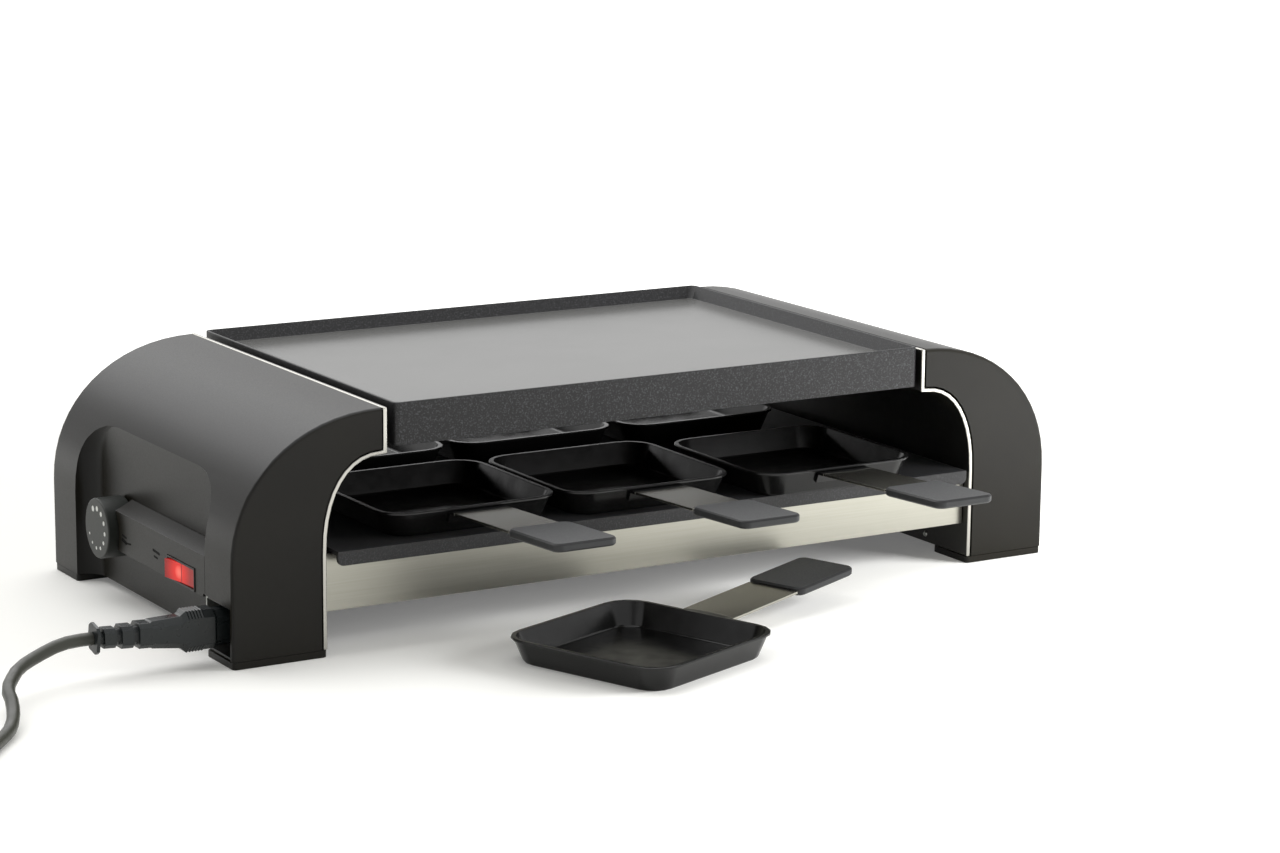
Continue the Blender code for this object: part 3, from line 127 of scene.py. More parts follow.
def place_camera():
    """The photograph's camera, set so that the grill falls on the same pixels."""
    azimuth, drop, roll = (math.radians(a) for a in (CAMERA_AZIMUTH, CAMERA_DROP, CAMERA_ROLL))
    ahead = Vector(
        (math.sin(azimuth) * math.cos(drop), math.cos(azimuth) * math.cos(drop), -math.sin(drop))
    )
    level = ahead.cross(Vector((0, 0, 1))).normalized()
    up = level.cross(ahead)
    across = level * math.cos(roll) + up * math.sin(roll)
    upward = up * math.cos(roll) - level * math.sin(roll)
    data = bpy.data.cameras.new("photo_camera")
    data.sensor_width = SENSOR_WIDTH
    data.lens = FOCAL_PIXELS / PICTURE_WIDTH * SENSOR_WIDTH
    data.shift_x = (PICTURE_WIDTH / 2 - CENTRE_PIXEL[0]) / PICTURE_WIDTH
    data.shift_y = (CENTRE_PIXEL[1] - PICTURE_HEIGHT / 2) / PICTURE_WIDTH
    camera = bpy.data.objects.new("photo_camera", data)
    turn = Matrix((across, upward, -ahead)).transposed().to_4x4()
    camera.matrix_world = Matrix.Translation(CENTRE + CAMERA_SPOT) @ turn
    bpy.context.scene.collection.objects.link(camera)
    bpy.context.scene.camera = camera


# Free cord


def smooth_route(spots):
    """A smooth curve through given points, with many short steps."""
    ends = [spots[0] * 2 - spots[1]] + spots + [spots[-1] * 2 - spots[-2]]
    fine = []
    for before, here, there, after in zip(ends, ends[1:], ends[2:], ends[3:]):
        for at in range(ROUTE_STEPS):
            share = at / ROUTE_STEPS
            straight = there - before
            bend = before * 2 - here * 5 + there * 4 - after
            twist = here * 3 - before - there * 3 + after
            fine.append((here * 2 + straight * share + bend * share**2 + twist * share**3) / 2)
    return fine + [spots[-1]]


def evenly_spaced(fine, spacing):
    """Points read from a curve at equal steps, about as far apart as the spacing."""
    lengths = [0.0]
    for before, after in zip(fine, fine[1:]):
        lengths.append(lengths[-1] + (after - before).length)
    count = round(lengths[-1] / spacing)
    route = []
    at = 0
    for step in range(count + 1):
        wanted = lengths[-1] * step / count
        while at < len(fine) - 2 and lengths[at + 1] < wanted:
            at += 1
        share = (wanted - lengths[at]) / (lengths[at + 1] - lengths[at])
        route.append(fine[at].lerp(fine[at + 1], share))
    return route


def coil_spot(turn):
    """Where the coil's centre line is after so many turns: in, then out one layer up."""
    radius = COIL_OUTER_TURN - COIL_PITCH * min(turn, COIL_TURNS - turn)
    climb = min(max((turn - COIL_TURNS / 2) / COIL_CLIMB_TURNS + 0.5, 0), 1)
    climb = climb * climb * (3 - 2 * climb)
    angle = math.radians(COIL_START_ANGLE) - 2 * math.pi * turn
    across = COIL_CENTRE[0] + radius * math.cos(angle)
    along = COIL_CENTRE[1] + radius * math.sin(angle)
    return Vector((across, along, CORD_RADIUS + COIL_RAISE + COIL_PITCH * climb))


def cord_points():
    """The whole cord, from the connector over the table into the coil and to the plug."""
    count = round(COIL_TURNS * COIL_POINTS)
    coil = [coil_spot(COIL_TURNS * at / count) for at in range(count + 1)]
    into = (coil[1] - coil[0]).normalized()
    out = (coil[-1] - coil[-2]).normalized()
    straight = CORD_RADIUS * 2
    lead = [CORD_START - Vector((straight, 0, 0))]
    lead += [Vector(spot) for spot in CORD_ROUTE] + [coil[0] - into * straight * 2]
    route = [CORD_START] + evenly_spaced(smooth_route(lead), CORD_POINT_SPACING)
    route += [coil[0] - into * straight] + coil + [coil[-1] + out * straight]
    return [CENTRE + spot for spot in route]


def lay_cord(finish):
    """The lead as one curve that stands for the model's stretch and coil."""
    route = cord_points()
    data = bpy.data.curves.new("mains_cord", "CURVE")
    data.dimensions = "3D"
    data.bevel_depth = CORD_RADIUS
    data.bevel_resolution = CORD_BEVEL_STEPS
    data.use_fill_caps = True
    spline = data.splines.new("POLY")
    spline.points.add(len(route) - 1)
    for point, spot in zip(spline.points, route):
        point.co = (*spot, 1.0)
    spline.use_smooth = True
    data.materials.append(finish)
    cord = bpy.data.objects.new("mains_cord", data)
    bpy.context.scene.collection.objects.link(cord)
    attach(cord, "mains_lead")
    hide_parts("cord_lead", "cord_coil")


# Finishes


# Where nearly all of a noise lies, and the sockets of a mix of two colours
NOISE_MIDDLE = {"From Min": 0.3, "From Max": 0.7}
SHARE, FIRST, SECOND, MIXED = 0, 6, 7, 2


def finish_base(name, colour, roughness, metallic=0.0, ior=1.5):
    """A material with its shader set, and the object's own coordinates to draw patterns by."""
    made = bpy.data.materials.new(name)
    made.use_nodes = True
    tree = made.node_tree
    shader = tree.nodes["Principled BSDF"]
    shader.inputs["Base Color"].default_value = linear(colour)
    shader.inputs["Roughness"].default_value = roughness
    shader.inputs["Metallic"].default_value = metallic
    shader.inputs["IOR"].default_value = ior
    coords = add(tree, "ShaderNodeTexCoord")
    return made, tree, shader, coords.outputs["Object"]


def grained(tree, shader, spots, size_mm, depth_mm, detail=2.0, gloss=None):
    """Raises an even grain, and lets the gloss follow it between two values of roughness.

    A moulded or sprayed grain is really 0.1 to 0.3 mm across, which is too fine for the picture,
    so it is drawn at 0.8 to 1.2 mm. The waves in fired enamel are drawn as coarse as they are.
    Gives back the grain, for a colour to follow.
    """
    settings = {"Vector": spots, "Scale": 1 / (size_mm * MM), "Detail": detail}
    grain = add(tree, "ShaderNodeTexNoise", settings)
    height = {"Height": grain, "Distance": depth_mm * MM, "Strength": 1.0}
    bump = add(tree, "ShaderNodeBump", height)
    tree.links.new(bump.outputs["Normal"], shader.inputs["Normal"])
    if gloss:
        ends = {"Value": grain, **NOISE_MIDDLE, "To Min": gloss[0], "To Max": gloss[1]}
        dulled = add(tree, "ShaderNodeMapRange", ends)
        tree.links.new(dulled.outputs["Result"], shader.inputs["Roughness"])
    return grain


def patches(tree, spots, size_mm, low=0.0, high=1.0, detail=2.0, middle=NOISE_MIDDLE):
    """Soft patches, about so many millimetres across, that run between two values."""
    settings = {"Vector": spots, "Scale": 1 / (size_mm * MM), "Detail": detail}
    noise = add(tree, "ShaderNodeTexNoise", settings)
    ends = {"Value": noise, **middle, "To Min": low, "To Max": high}
    return add(tree, "ShaderNodeMapRange", ends).outputs["Result"]


def fading(tree, spots, spot, near, far, low=0.0, high=1.0):
    """Runs between two values while a point of the surface lies near to or far from a spot."""
    away = add(tree, "ShaderNodeVectorMath", {0: spots, 1: tuple(spot)}, operation="DISTANCE")
    ends = {"From Min": near, "From Max": far, "To Min": low, "To Max": high}
    run = add(tree, "ShaderNodeMapRange", {"Value": away.outputs["Value"], **ends})
    return run.outputs["Result"]


def moulded_charcoal():
    """PBT housing, injection moulded in a spark-eroded mould: dull, dark, with a faint warm tint.

    Its low gloss leaves it nearly black where it faces the eye, and pale where the eye grazes it.
    The real texture is about 0.1 mm across, and it is drawn at 0.9 mm so that it shows at all.
    """
    made, tree, shader, spots = finish_base("moulded_charcoal_pbt", "#191711", 0.34, ior=1.28)
    # Painted light: the cool tint of its gloss stands in for the cool light on its top
    shader.inputs["Specular Tint"].default_value = linear("#eef2fc")
    cloud = patches(tree, spots, size_mm=70, detail=3)
    colours = {SHARE: cloud, FIRST: "#171510", SECOND: "#1b1913"}
    tint = add(tree, "ShaderNodeMix", colours, data_type="RGBA")
    tree.links.new(tint.outputs[MIXED], shader.inputs["Base Color"])
    grained(tree, shader, spots, size_mm=0.9, depth_mm=0.012, detail=3, gloss=(0.3, 0.38))
    return made


def knob_moulding():
    """Glass-filled nylon, moulded as the knob: as dark as the housing, cooler, a little greener."""
    made, tree, shader, spots = finish_base("moulded_knob_nylon", "#1f221f", 0.4, ior=1.36)
    fine = grained(tree, shader, spots, size_mm=0.8, depth_mm=0.012, detail=3, gloss=(0.38, 0.48))
    colours = {SHARE: fine, FIRST: "#1d201d", SECOND: "#222522"}
    tint = add(tree, "ShaderNodeMix", colours, data_type="RGBA")
    tree.links.new(tint.outputs[MIXED], shader.inputs["Base Color"])
    return made


def black_enamelled_sheet():
    """Steel sheet, sprayed with black enamel and fired: nearly black, satin, faintly wavy.

    Near the heating element it has browned in patches, which turns it a little olive.
    """
    made, tree, shader, spots = finish_base("black_enamelled_sheet", "#1a1a17", 0.36, ior=1.4)
    scorch = patches(tree, spots, size_mm=45, detail=3)
    colours = {SHARE: scorch, FIRST: "#161616", SECOND: "#201f19"}
    tint = add(tree, "ShaderNodeMix", colours, data_type="RGBA")
    tree.links.new(tint.outputs[MIXED], shader.inputs["Base Color"])
    gloss = patches(tree, spots, size_mm=9, low=0.3, high=0.44)
    tree.links.new(gloss, shader.inputs["Roughness"])
    grained(tree, shader, spots, size_mm=2.5, depth_mm=0.02)
    return made


def polished_steel():
    """Stainless edge profile, rolled and polished: a thin bright line with a trace of wear."""
    made, tree, shader, spots = finish_base("polished_steel", "#b0aea8", 0.2, metallic=1.0)
    gloss = patches(tree, spots, size_mm=6, low=0.16, high=0.24, detail=3)
    tree.links.new(gloss, shader.inputs["Roughness"])
    return made


# How long a brush line runs, and how deep it is
BRUSH_RUN = 60 * MM
BRUSH_DEPTH = 0.0003 * MM


def brushed(tree, shader, spots, turn_degrees, line_mm, gloss):
    """Long thin brush lines along X, turned about the upright axis, in relief and in the gloss.

    Gives back how far a point is from the dull lines to the bright ones.
    """
    turn = {"Vector": spots, "Rotation": (0, 0, math.radians(turn_degrees))}
    turned = add(tree, "ShaderNodeMapping", turn)
    scale = (1 / BRUSH_RUN, 1 / (line_mm * MM), 1 / (line_mm * MM))
    drawn = add(tree, "ShaderNodeMapping", {"Vector": turned, "Scale": scale})
    lines = add(tree, "ShaderNodeTexNoise", {"Vector": drawn, "Scale": 1.0, "Detail": 2.0})
    ends = {"Value": lines, **NOISE_MIDDLE}
    dulled = add(tree, "ShaderNodeMapRange", {**ends, "To Min": gloss[0], "To Max": gloss[1]})
    tree.links.new(dulled.outputs["Result"], shader.inputs["Roughness"])
    bump = add(tree, "ShaderNodeBump", {"Height": lines, "Distance": BRUSH_DEPTH, "Strength": 1.0})
    tree.links.new(bump.outputs["Normal"], shader.inputs["Normal"])
    return add(tree, "ShaderNodeMapRange", {**ends, "To Min": 0.0, "To Max": 1.0})


def brushed_steel_panel():
    """Stainless sheet with long, fine brush lines: a silky sheen and hardly any single line.

    Real lines are about 0.05 mm apart, and they are drawn 0.9 mm apart.
    """
    made, tree, shader, spots = finish_base("brushed_steel_panel", "#a2a097", 0.3, metallic=1.0)
    bright = brushed(tree, shader, spots, turn_degrees=0.0, line_mm=0.9, gloss=(0.29, 0.33))
    colours = {SHARE: bright, FIRST: "#9f9e94", SECOND: "#a5a39a"}
    tint = add(tree, "ShaderNodeMix", colours, data_type="RGBA")
    tree.links.new(tint.outputs[MIXED], shader.inputs["Base Color"])
    return made


# How far beyond its tray a strip is painted black, as painted shade where its tab lies in shadow,
# and over what length it fades
STRIP_SHADE_REACH = 8 * MM
STRIP_SHADE_FADE = 1.5 * MM


def handle_steel(pan, turn_degrees):
    """Satin stainless strip, painted black and dull near its tray as painted shade where its tab
    lies in shadow.

    It is grey and smooth. Its brush lines are drawn 0.5 mm apart, coarser than real, as on the
    panel.
    """
    name = f"satin_steel_{pan}"
    made, tree, shader, spots = finish_base(name, "#aeaca4", 0.24, metallic=1.0)
    bright = brushed(tree, shader, spots, turn_degrees, line_mm=0.5, gloss=(0.22, 0.26))
    colours = {SHARE: bright, FIRST: "#a6a49b", SECOND: "#aeaca3"}
    steel = add(tree, "ShaderNodeMix", colours, data_type="RGBA").outputs[MIXED]
    low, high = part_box(f"{pan}_tray")
    edge = TRAY_HALF + STRIP_SHADE_REACH
    # Painted shade: black and not metallic within this reach of the tray, where the tab lies in
    # shadow
    bare = fading(tree, spots, (low + high) / 2, edge, edge + STRIP_SHADE_FADE)
    colours = {SHARE: bare, FIRST: "#131313", SECOND: steel}
    tint = add(tree, "ShaderNodeMix", colours, data_type="RGBA")
    tree.links.new(tint.outputs[MIXED], shader.inputs["Base Color"])
    tree.links.new(bare, shader.inputs["Metallic"])
    return made


# The coat's pebbles and flecks, and the peaks of a noise that become flecks
PEBBLE_MM = 1.0
FLECK_MM = 1.0
FLECK_PEAKS = {"From Min": 0.5, "From Max": 0.75}
PEBBLE_DEPTH = 0.05 * MM


def speckled_coat(tree, spots, dark, pale, gloss):
    """A sprayed coat with pale flecks of filler in it: its colour, its gloss and its pebbles."""
    flecks = patches(tree, spots, FLECK_MM, middle=FLECK_PEAKS)
    colours = {SHARE: flecks, FIRST: dark, SECOND: pale}
    colour = add(tree, "ShaderNodeMix", colours, data_type="RGBA").outputs[MIXED]
    settings = {"Vector": spots, "Scale": 1 / (PEBBLE_MM * MM), "Detail": 3.0}
    pebbles = add(tree, "ShaderNodeTexNoise", settings)
    ends = {"Value": pebbles, **NOISE_MIDDLE, "To Min": gloss[0], "To Max": gloss[1]}
    return colour, add(tree, "ShaderNodeMapRange", ends), pebbles


def coated_shelf():
    """Aluminium under a sprayed non-stick coat: dark, pebbled, with pale flecks of filler.

    The coat's pebbles and flecks are about 0.3 mm across, and they are drawn at 1 mm.
    """
    made, tree, shader, spots = finish_base("non_stick_shelf", "#262627", 0.46, ior=1.4)
    colour, dulled, pebbles = speckled_coat(tree, spots, "#212122", "#3c3c3e", (0.4, 0.52))
    tree.links.new(colour, shader.inputs["Base Color"])
    tree.links.new(dulled.outputs["Result"], shader.inputs["Roughness"])
    height = {"Height": pebbles, "Distance": PEBBLE_DEPTH, "Strength": 1.0}
    bump = add(tree, "ShaderNodeBump", height)
    tree.links.new(bump.outputs["Normal"], shader.inputs["Normal"])
    return made


# What lies farther below the rim's top than this, and faces upward this much, is for cooking
RIM_REACH = 7.5 * MM
LEVEL = 0.9


def cast_plate():
    """Cast aluminium under a non-stick coat: pebbled on rim and apron, smooth on the middle.

    The pale flecks, drawn at 1 mm, show that the coat is thick there. The cooking surface was
    ground first, so it mirrors the bright room softly, with faint wipe marks.
    """
    made, tree, shader, spots = finish_base("non_stick_cast_plate", "#1c1c1e", 0.5, ior=1.42)
    colour, dull, pebbles = speckled_coat(tree, spots, "#111112", "#404043", (0.42, 0.54))

    # The cooking surface is smooth, and the coat on all the rest is pebbled
    facing = add(tree, "ShaderNodeTexCoord").outputs["Normal"]
    height = add(tree, "ShaderNodeSeparateXYZ", {0: spots}).outputs["Z"]
    upward = add(tree, "ShaderNodeSeparateXYZ", {0: facing}).outputs["Z"]
    low = add(tree, "ShaderNodeMath", {0: height, 1: PLATE_TOP - RIM_REACH}, operation="LESS_THAN")
    level = add(tree, "ShaderNodeMath", {0: upward, 1: LEVEL}, operation="GREATER_THAN")
    cooking = add(tree, "ShaderNodeMath", {0: low, 1: level}, operation="MULTIPLY")

    wipes = patches(tree, spots, size_mm=55, detail=3)
    colours = {SHARE: wipes, FIRST: "#60605f", SECOND: "#646463"}
    wiped = add(tree, "ShaderNodeMix", colours, data_type="RGBA").outputs[MIXED]
    colours = {SHARE: cooking, FIRST: colour, SECOND: wiped}
    tint = add(tree, "ShaderNodeMix", colours, data_type="RGBA")
    tree.links.new(tint.outputs[MIXED], shader.inputs["Base Color"])
    sleek = patches(tree, spots, size_mm=30, low=0.2, high=0.215, detail=3)
    gloss = add(tree, "ShaderNodeMix", {SHARE: cooking, 2: dull, 3: sleek}, data_type="FLOAT")
    tree.links.new(gloss.outputs[0], shader.inputs["Roughness"])
    coated = add(tree, "ShaderNodeMath", {0: 1.0, 1: cooking}, operation="SUBTRACT")
    raised = add(tree, "ShaderNodeMath", {0: pebbles, 1: coated}, operation="MULTIPLY")
    relief = {"Height": raised, "Distance": PEBBLE_DEPTH, "Strength": 1.0}
    bump = add(tree, "ShaderNodeBump", relief)
    tree.links.new(bump.outputs["Normal"], shader.inputs["Normal"])
    return made


def black_pan_enamel():
    """Pressed steel, dipped in black enamel and fired: glossy, black, uneven from the dip."""
    made, tree, shader, spots = finish_base("black_pan_enamel", "#0f0f0f", 0.2, ior=1.4)
    gloss = patches(tree, spots, size_mm=12, low=0.17, high=0.27)
    tree.links.new(gloss, shader.inputs["Roughness"])
    grained(tree, shader, spots, size_mm=6, depth_mm=0.02)
    return made


# How far up a grip's faces have to look to be its top, painted a touch lighter as painted light,
# and to be above its rounded edge, painted darker as painted shade
LIT_TOP_FACING = {"From Min": 0.8, "From Max": 0.95, "To Min": 0.0, "To Max": 1.0}
SHADED_EDGE_FACING = {"From Min": 0.1, "From Max": 0.25, "To Min": 1.0, "To Max": 0.0}


def grip_phenolic():
    """Heat-proof phenolic, pressed in a mould: dark grey and matte, with painted light and shade:
    its top a touch lighter than its sides, and its rounded top edge darker.
    """
    made, tree, shader, spots = finish_base("grip_phenolic", "#303132", 0.48, ior=1.36)
    fine = grained(tree, shader, spots, size_mm=1.0, depth_mm=0.015, detail=3, gloss=(0.42, 0.52))
    facing = add(tree, "ShaderNodeTexCoord").outputs["Normal"]
    upward = add(tree, "ShaderNodeSeparateXYZ", {0: facing}).outputs["Z"]
    top = add(tree, "ShaderNodeMapRange", {"Value": upward, **LIT_TOP_FACING})
    edge = add(tree, "ShaderNodeMapRange", {"Value": upward, **SHADED_EDGE_FACING})
    colours = {SHARE: fine, FIRST: "#2c2d2e", SECOND: "#353637"}
    body = add(tree, "ShaderNodeMix", colours, data_type="RGBA").outputs[MIXED]
    # Painted shade: the rounded edge between top and sides is darker, chosen by which way the face
    # looks
    colours = {SHARE: edge, FIRST: "#1d1d1e", SECOND: "#2b2c2d"}
    side = add(tree, "ShaderNodeMix", colours, data_type="RGBA").outputs[MIXED]
    # Painted light: the faces that look up take the lighter colour
    tint = add(tree, "ShaderNodeMix", {SHARE: top, FIRST: side, SECOND: body}, data_type="RGBA")
    tree.links.new(tint.outputs[MIXED], shader.inputs["Base Color"])
    return made


# How coarse the uneven gloss of vinyl is, and how far it takes the roughness
VINYL_PATCH_MM = 6
VINYL_SWING = 0.05


def lead_vinyl(name, colour, roughness):
    """Soft vinyl, extruded as the sheath or moulded as the connector: a soft, uneven gloss."""
    made, tree, shader, spots = finish_base(name, colour, roughness, ior=1.4)
    swing = roughness - VINYL_SWING, roughness + VINYL_SWING
    gloss = patches(tree, spots, VINYL_PATCH_MM, *swing)
    tree.links.new(gloss, shader.inputs["Roughness"])
    grained(tree, shader, spots, size_mm=1.2, depth_mm=0.01)
    return made


# How high the sleeves of the plug's pins reach
PLUG_SLEEVE_TOP = 30 * MM


def plug_vinyl_and_pins():
    """The same vinyl moulded round the plug, whose nickelled pins shine above black sleeves."""
    made, tree, shader, spots = finish_base("plug_vinyl_and_pins", "#1e2223", 0.34, ior=1.4)
    height = add(tree, "ShaderNodeSeparateXYZ", {0: spots}).outputs["Z"]
    above = {0: height, 1: PLUG_SLEEVE_TOP}
    bare = add(tree, "ShaderNodeMath", above, operation="GREATER_THAN").outputs[0]
    colours = {SHARE: bare, FIRST: "#1e2223", SECOND: "#c9c6bd"}
    tint = add(tree, "ShaderNodeMix", colours, data_type="RGBA")
    tree.links.new(tint.outputs[MIXED], shader.inputs["Base Color"])
    tree.links.new(bare, shader.inputs["Metallic"])
    grained(tree, shader, spots, size_mm=1.2, depth_mm=0.01)
    return made


def black_nylon():
    """Black nylon of the switch frame and the tie, moulded: even and dull."""
    made, tree, shader, spots = finish_base("black_nylon", "#131313", 0.45, ior=1.4)
    grained(tree, shader, spots, size_mm=0.9, depth_mm=0.02)
    return made


# Where the inlet's metal lies: a field round the lead's start; and the wall at its far end, painted
# pale and part metallic as painted light falling into the well
PIN_FIELD_HALF_WIDTH = 6 * MM
PIN_FIELD_HALF_HEIGHT = 10.5 * MM
WELL_DEPTH = 16.2 * MM
PAINTED_LIGHT_WALL = 3 * MM
PLATING = 0.6


def inlet_moulding():
    """Black moulded inlet: dull, with pale nickelled blades, and its far wall painted pale as
    painted light.
    """
    made, tree, shader, spots = finish_base("inlet_moulding", "#121212", 0.4, ior=1.4)
    low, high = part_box("inlet_socket")
    middle = CENTRE + CORD_START
    place = add(tree, "ShaderNodeSeparateXYZ", {0: spots})
    across = {0: place.outputs["Y"], 1: middle.y, 2: PIN_FIELD_HALF_WIDTH}
    upward = {0: place.outputs["Z"], 1: middle.z, 2: PIN_FIELD_HALF_HEIGHT}
    beside = add(tree, "ShaderNodeMath", across, operation="COMPARE")
    level = add(tree, "ShaderNodeMath", upward, operation="COMPARE")
    front = {0: place.outputs["X"], 1: low.x + WELL_DEPTH}
    proud = add(tree, "ShaderNodeMath", front, operation="LESS_THAN")
    field = add(tree, "ShaderNodeMath", {0: beside, 1: level}, operation="MULTIPLY")
    blade = add(tree, "ShaderNodeMath", {0: field, 1: proud}, operation="MULTIPLY")
    # Painted light: the far wall is drawn pale and part metallic where light falls into the well
    far = {0: place.outputs["Y"], 1: high.y - PAINTED_LIGHT_WALL}
    wall = add(tree, "ShaderNodeMath", far, operation="GREATER_THAN")
    metal = add(tree, "ShaderNodeMath", {0: blade, 1: wall}, operation="MAXIMUM")
    colours = {SHARE: metal, FIRST: "#121212", SECOND: "#9fa29d"}
    tint = add(tree, "ShaderNodeMix", colours, data_type="RGBA")
    tree.links.new(tint.outputs[MIXED], shader.inputs["Base Color"])
    plated = add(tree, "ShaderNodeMath", {0: metal, 1: PLATING}, operation="MULTIPLY")
    tree.links.new(plated.outputs[0], shader.inputs["Metallic"])
    grained(tree, shader, spots, size_mm=1.0, depth_mm=0.01)
    return made


# The rib's half width, the lamp's place beside the middle, and how near and far its light reaches
LENS_SEAM_HALF = 0.7 * MM
LENS_LAMP_ALONG = 2.5 * MM
LENS_WARM = (1 * MM, 15 * MM)
LENS_HOT = (0.5 * MM, 5.5 * MM)
LENS_GLOW = 0.85


def lit_lens():
    """Red polycarbonate, moulded as a rocker over a lamp: pink at the lamp, deep red at the ends.

    The two halves meet in a rib across the middle, which looks like a dark line.
    """
    made, tree, shader, spots = finish_base("lit_red_polycarbonate", "#8a0906", 0.3, ior=1.36)
    low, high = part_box("rocker_switch")
    middle = (low + high) / 2
    lamp = (low.x, middle.y + LENS_LAMP_ALONG, middle.z)
    warm = fading(tree, spots, lamp, *LENS_WARM, 1.0, 0.0)
    hot = fading(tree, spots, lamp, *LENS_HOT, 1.0, 0.0)
    colours = {SHARE: warm, FIRST: "#6e0403", SECOND: "#f8200f"}
    red = add(tree, "ShaderNodeMix", colours, data_type="RGBA").outputs[MIXED]
    colours = {SHARE: hot, FIRST: red, SECOND: "#ff9a86"}
    glow = add(tree, "ShaderNodeMix", colours, data_type="RGBA").outputs[MIXED]
    along = add(tree, "ShaderNodeSeparateXYZ", {0: spots}).outputs["Y"]
    rib = {0: along, 1: middle.y, 2: LENS_SEAM_HALF}
    seam = add(tree, "ShaderNodeMath", rib, operation="COMPARE")
    colours = {SHARE: seam, FIRST: glow, SECOND: "#8d0a05"}
    ribbed = add(tree, "ShaderNodeMix", colours, data_type="RGBA")
    tree.links.new(ribbed.outputs[MIXED], shader.inputs["Emission Color"])
    shader.inputs["Emission Strength"].default_value = LENS_GLOW
    return made


# How coarse the heat's stains are
STAIN_SIZE = 25 * MM


def dark_element_steel():
    """Nickel alloy sheath, drawn as a tube and browned by its own heat: dark, warm and dull."""
    made, tree, shader, spots = finish_base("heated_sheath", "#4a423c", 0.42, metallic=1.0)
    settings = {"Vector": spots, "Scale": 1 / STAIN_SIZE, "Detail": 3.0}
    stain = add(tree, "ShaderNodeTexNoise", settings)
    colours = {SHARE: stain, FIRST: "#3a3431", SECOND: "#5d5248"}
    tint = add(tree, "ShaderNodeMix", colours, data_type="RGBA")
    tree.links.new(tint.outputs[MIXED], shader.inputs["Base Color"])
    grained(tree, shader, spots, size_mm=0.8, depth_mm=0.02)
    return made


def zinc_plate(name, colour):
    """Steel, zinc plated in a bath: pale grey, with a faintly cloudy gloss."""
    made, tree, shader, spots = finish_base(name, colour, 0.32, metallic=1.0)
    gloss = patches(tree, spots, size_mm=8, low=0.26, high=0.42)
    tree.links.new(gloss, shader.inputs["Roughness"])
    return made


# The same for ink
INK_PATCH_MM = 1.5
INK_SWING = 0.06


def pad_ink(name, colour, roughness, ior):
    """Pad-printed ink: even, with a slightly uneven gloss from the pad."""
    made, tree, shader, spots = finish_base(name, colour, roughness, ior=ior)
    swing = roughness - INK_SWING, roughness + INK_SWING
    gloss = patches(tree, spots, INK_PATCH_MM, *swing)
    tree.links.new(gloss, shader.inputs["Roughness"])
    return made


def dress(finish, *names):
    """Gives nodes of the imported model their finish."""
    for name in names:
        slots = NODES[name].data.materials
        slots.clear()
        slots.append(finish)


PANS = [f"{row}_{word}_pan" for row in ("front", "rear") for word in ("left", "middle", "right")]
PANS.append("table_pan")
SIDES = ("left", "right")
ENDS = ("front", "rear")
# How far the brush lines of the strips are turned from X, and the pan on the table from the rest
STRIP_LINES_TURN = 90.0
TABLE_PAN_TURN = 111.0
TRAY_HALF = (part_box("front_left_pan_tray")[1].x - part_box("front_left_pan_tray")[0].x) / 2


def of_sides(*words):
    """The names of the nodes that both sides have."""
    return [f"{side}_{word}" for side in SIDES for word in words]


def of_corners(word):
    """The names of the nodes that all four legs have."""
    return [f"{side}_{end}_{word}" for side in SIDES for end in ENDS]


def of_pans(*words):
    """The names of the nodes that all pans have."""
    return [f"{pan}_{word}" for word in words for pan in PANS]


def dress_all():
    """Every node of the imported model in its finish."""
    dress(moulded_charcoal(), *of_sides("cover"), "control_bar", *of_corners("foot"))
    dress(knob_moulding(), "thermostat_knob")
    sheet = black_enamelled_sheet()
    dress(sheet, "base_pan", "front_element_bracket", "rear_element_bracket")
    dress(sheet, *of_sides("liner", "bottom_plate", "plate_rail"))
    dress(polished_steel(), *of_corners("trim"), *of_sides("top_trim"))
    dress(brushed_steel_panel(), "front_panel", "rear_panel")
    dress(coated_shelf(), "shelf_plate")
    dress(cast_plate(), "grill_plate")
    dress(dark_element_steel(), "heating_element")
    dress(zinc_plate("zinc_plated_can", "#b4b6b3"), "thermostat")
    dress(black_nylon(), "switch_housing", "coil_tie")
    dress(inlet_moulding(), "inlet_socket")
    dress(lit_lens(), "rocker_switch")
    dress(lead_vinyl("connector_vinyl", "#1a1e1f", roughness=0.3), "connector")
    dress(plug_vinyl_and_pins(), "mains_plug")
    dress(black_pan_enamel(), *of_pans("tray"))
    dress(grip_phenolic(), *of_pans("grip"))
    for pan in PANS:
        turn = STRIP_LINES_TURN - (TABLE_PAN_TURN if pan == "table_pan" else 0.0)
        dress(handle_steel(pan, turn), f"{pan}_handle_strip")


# Eased edges


# How far the edges of each sort of piece are rounded
HOUSING_EDGE = 0.5 * MM
MOULDED_EDGE = 0.4 * MM
FINE_EDGE = 0.3 * MM
ROLLED_EDGE = 1.0 * MM
SHEET_EDGE = 0.2 * MM
# What counts as one corner, one flat face and one sharp edge, and the steps that round it
WELD_REACH = 0.01 * MM
FLAT_WITHIN = math.radians(0.6)
EDGE_FROM = math.radians(30)
EDGE_STEPS = 2


def smooth_faces():
    """A node group that shades every face smooth, for the eased edges to blend."""
    group = bpy.data.node_groups.new("smooth_faces", "GeometryNodeTree")
    group.interface.new_socket("Geometry", in_out="INPUT", socket_type="NodeSocketGeometry")
    group.interface.new_socket("Geometry", in_out="OUTPUT", socket_type="NodeSocketGeometry")
    taken = add(group, "NodeGroupInput")
    smooth = add(group, "GeometryNodeSetShadeSmooth", {"Geometry": taken})
    add(group, "NodeGroupOutput", {"Geometry": smooth})
    return group


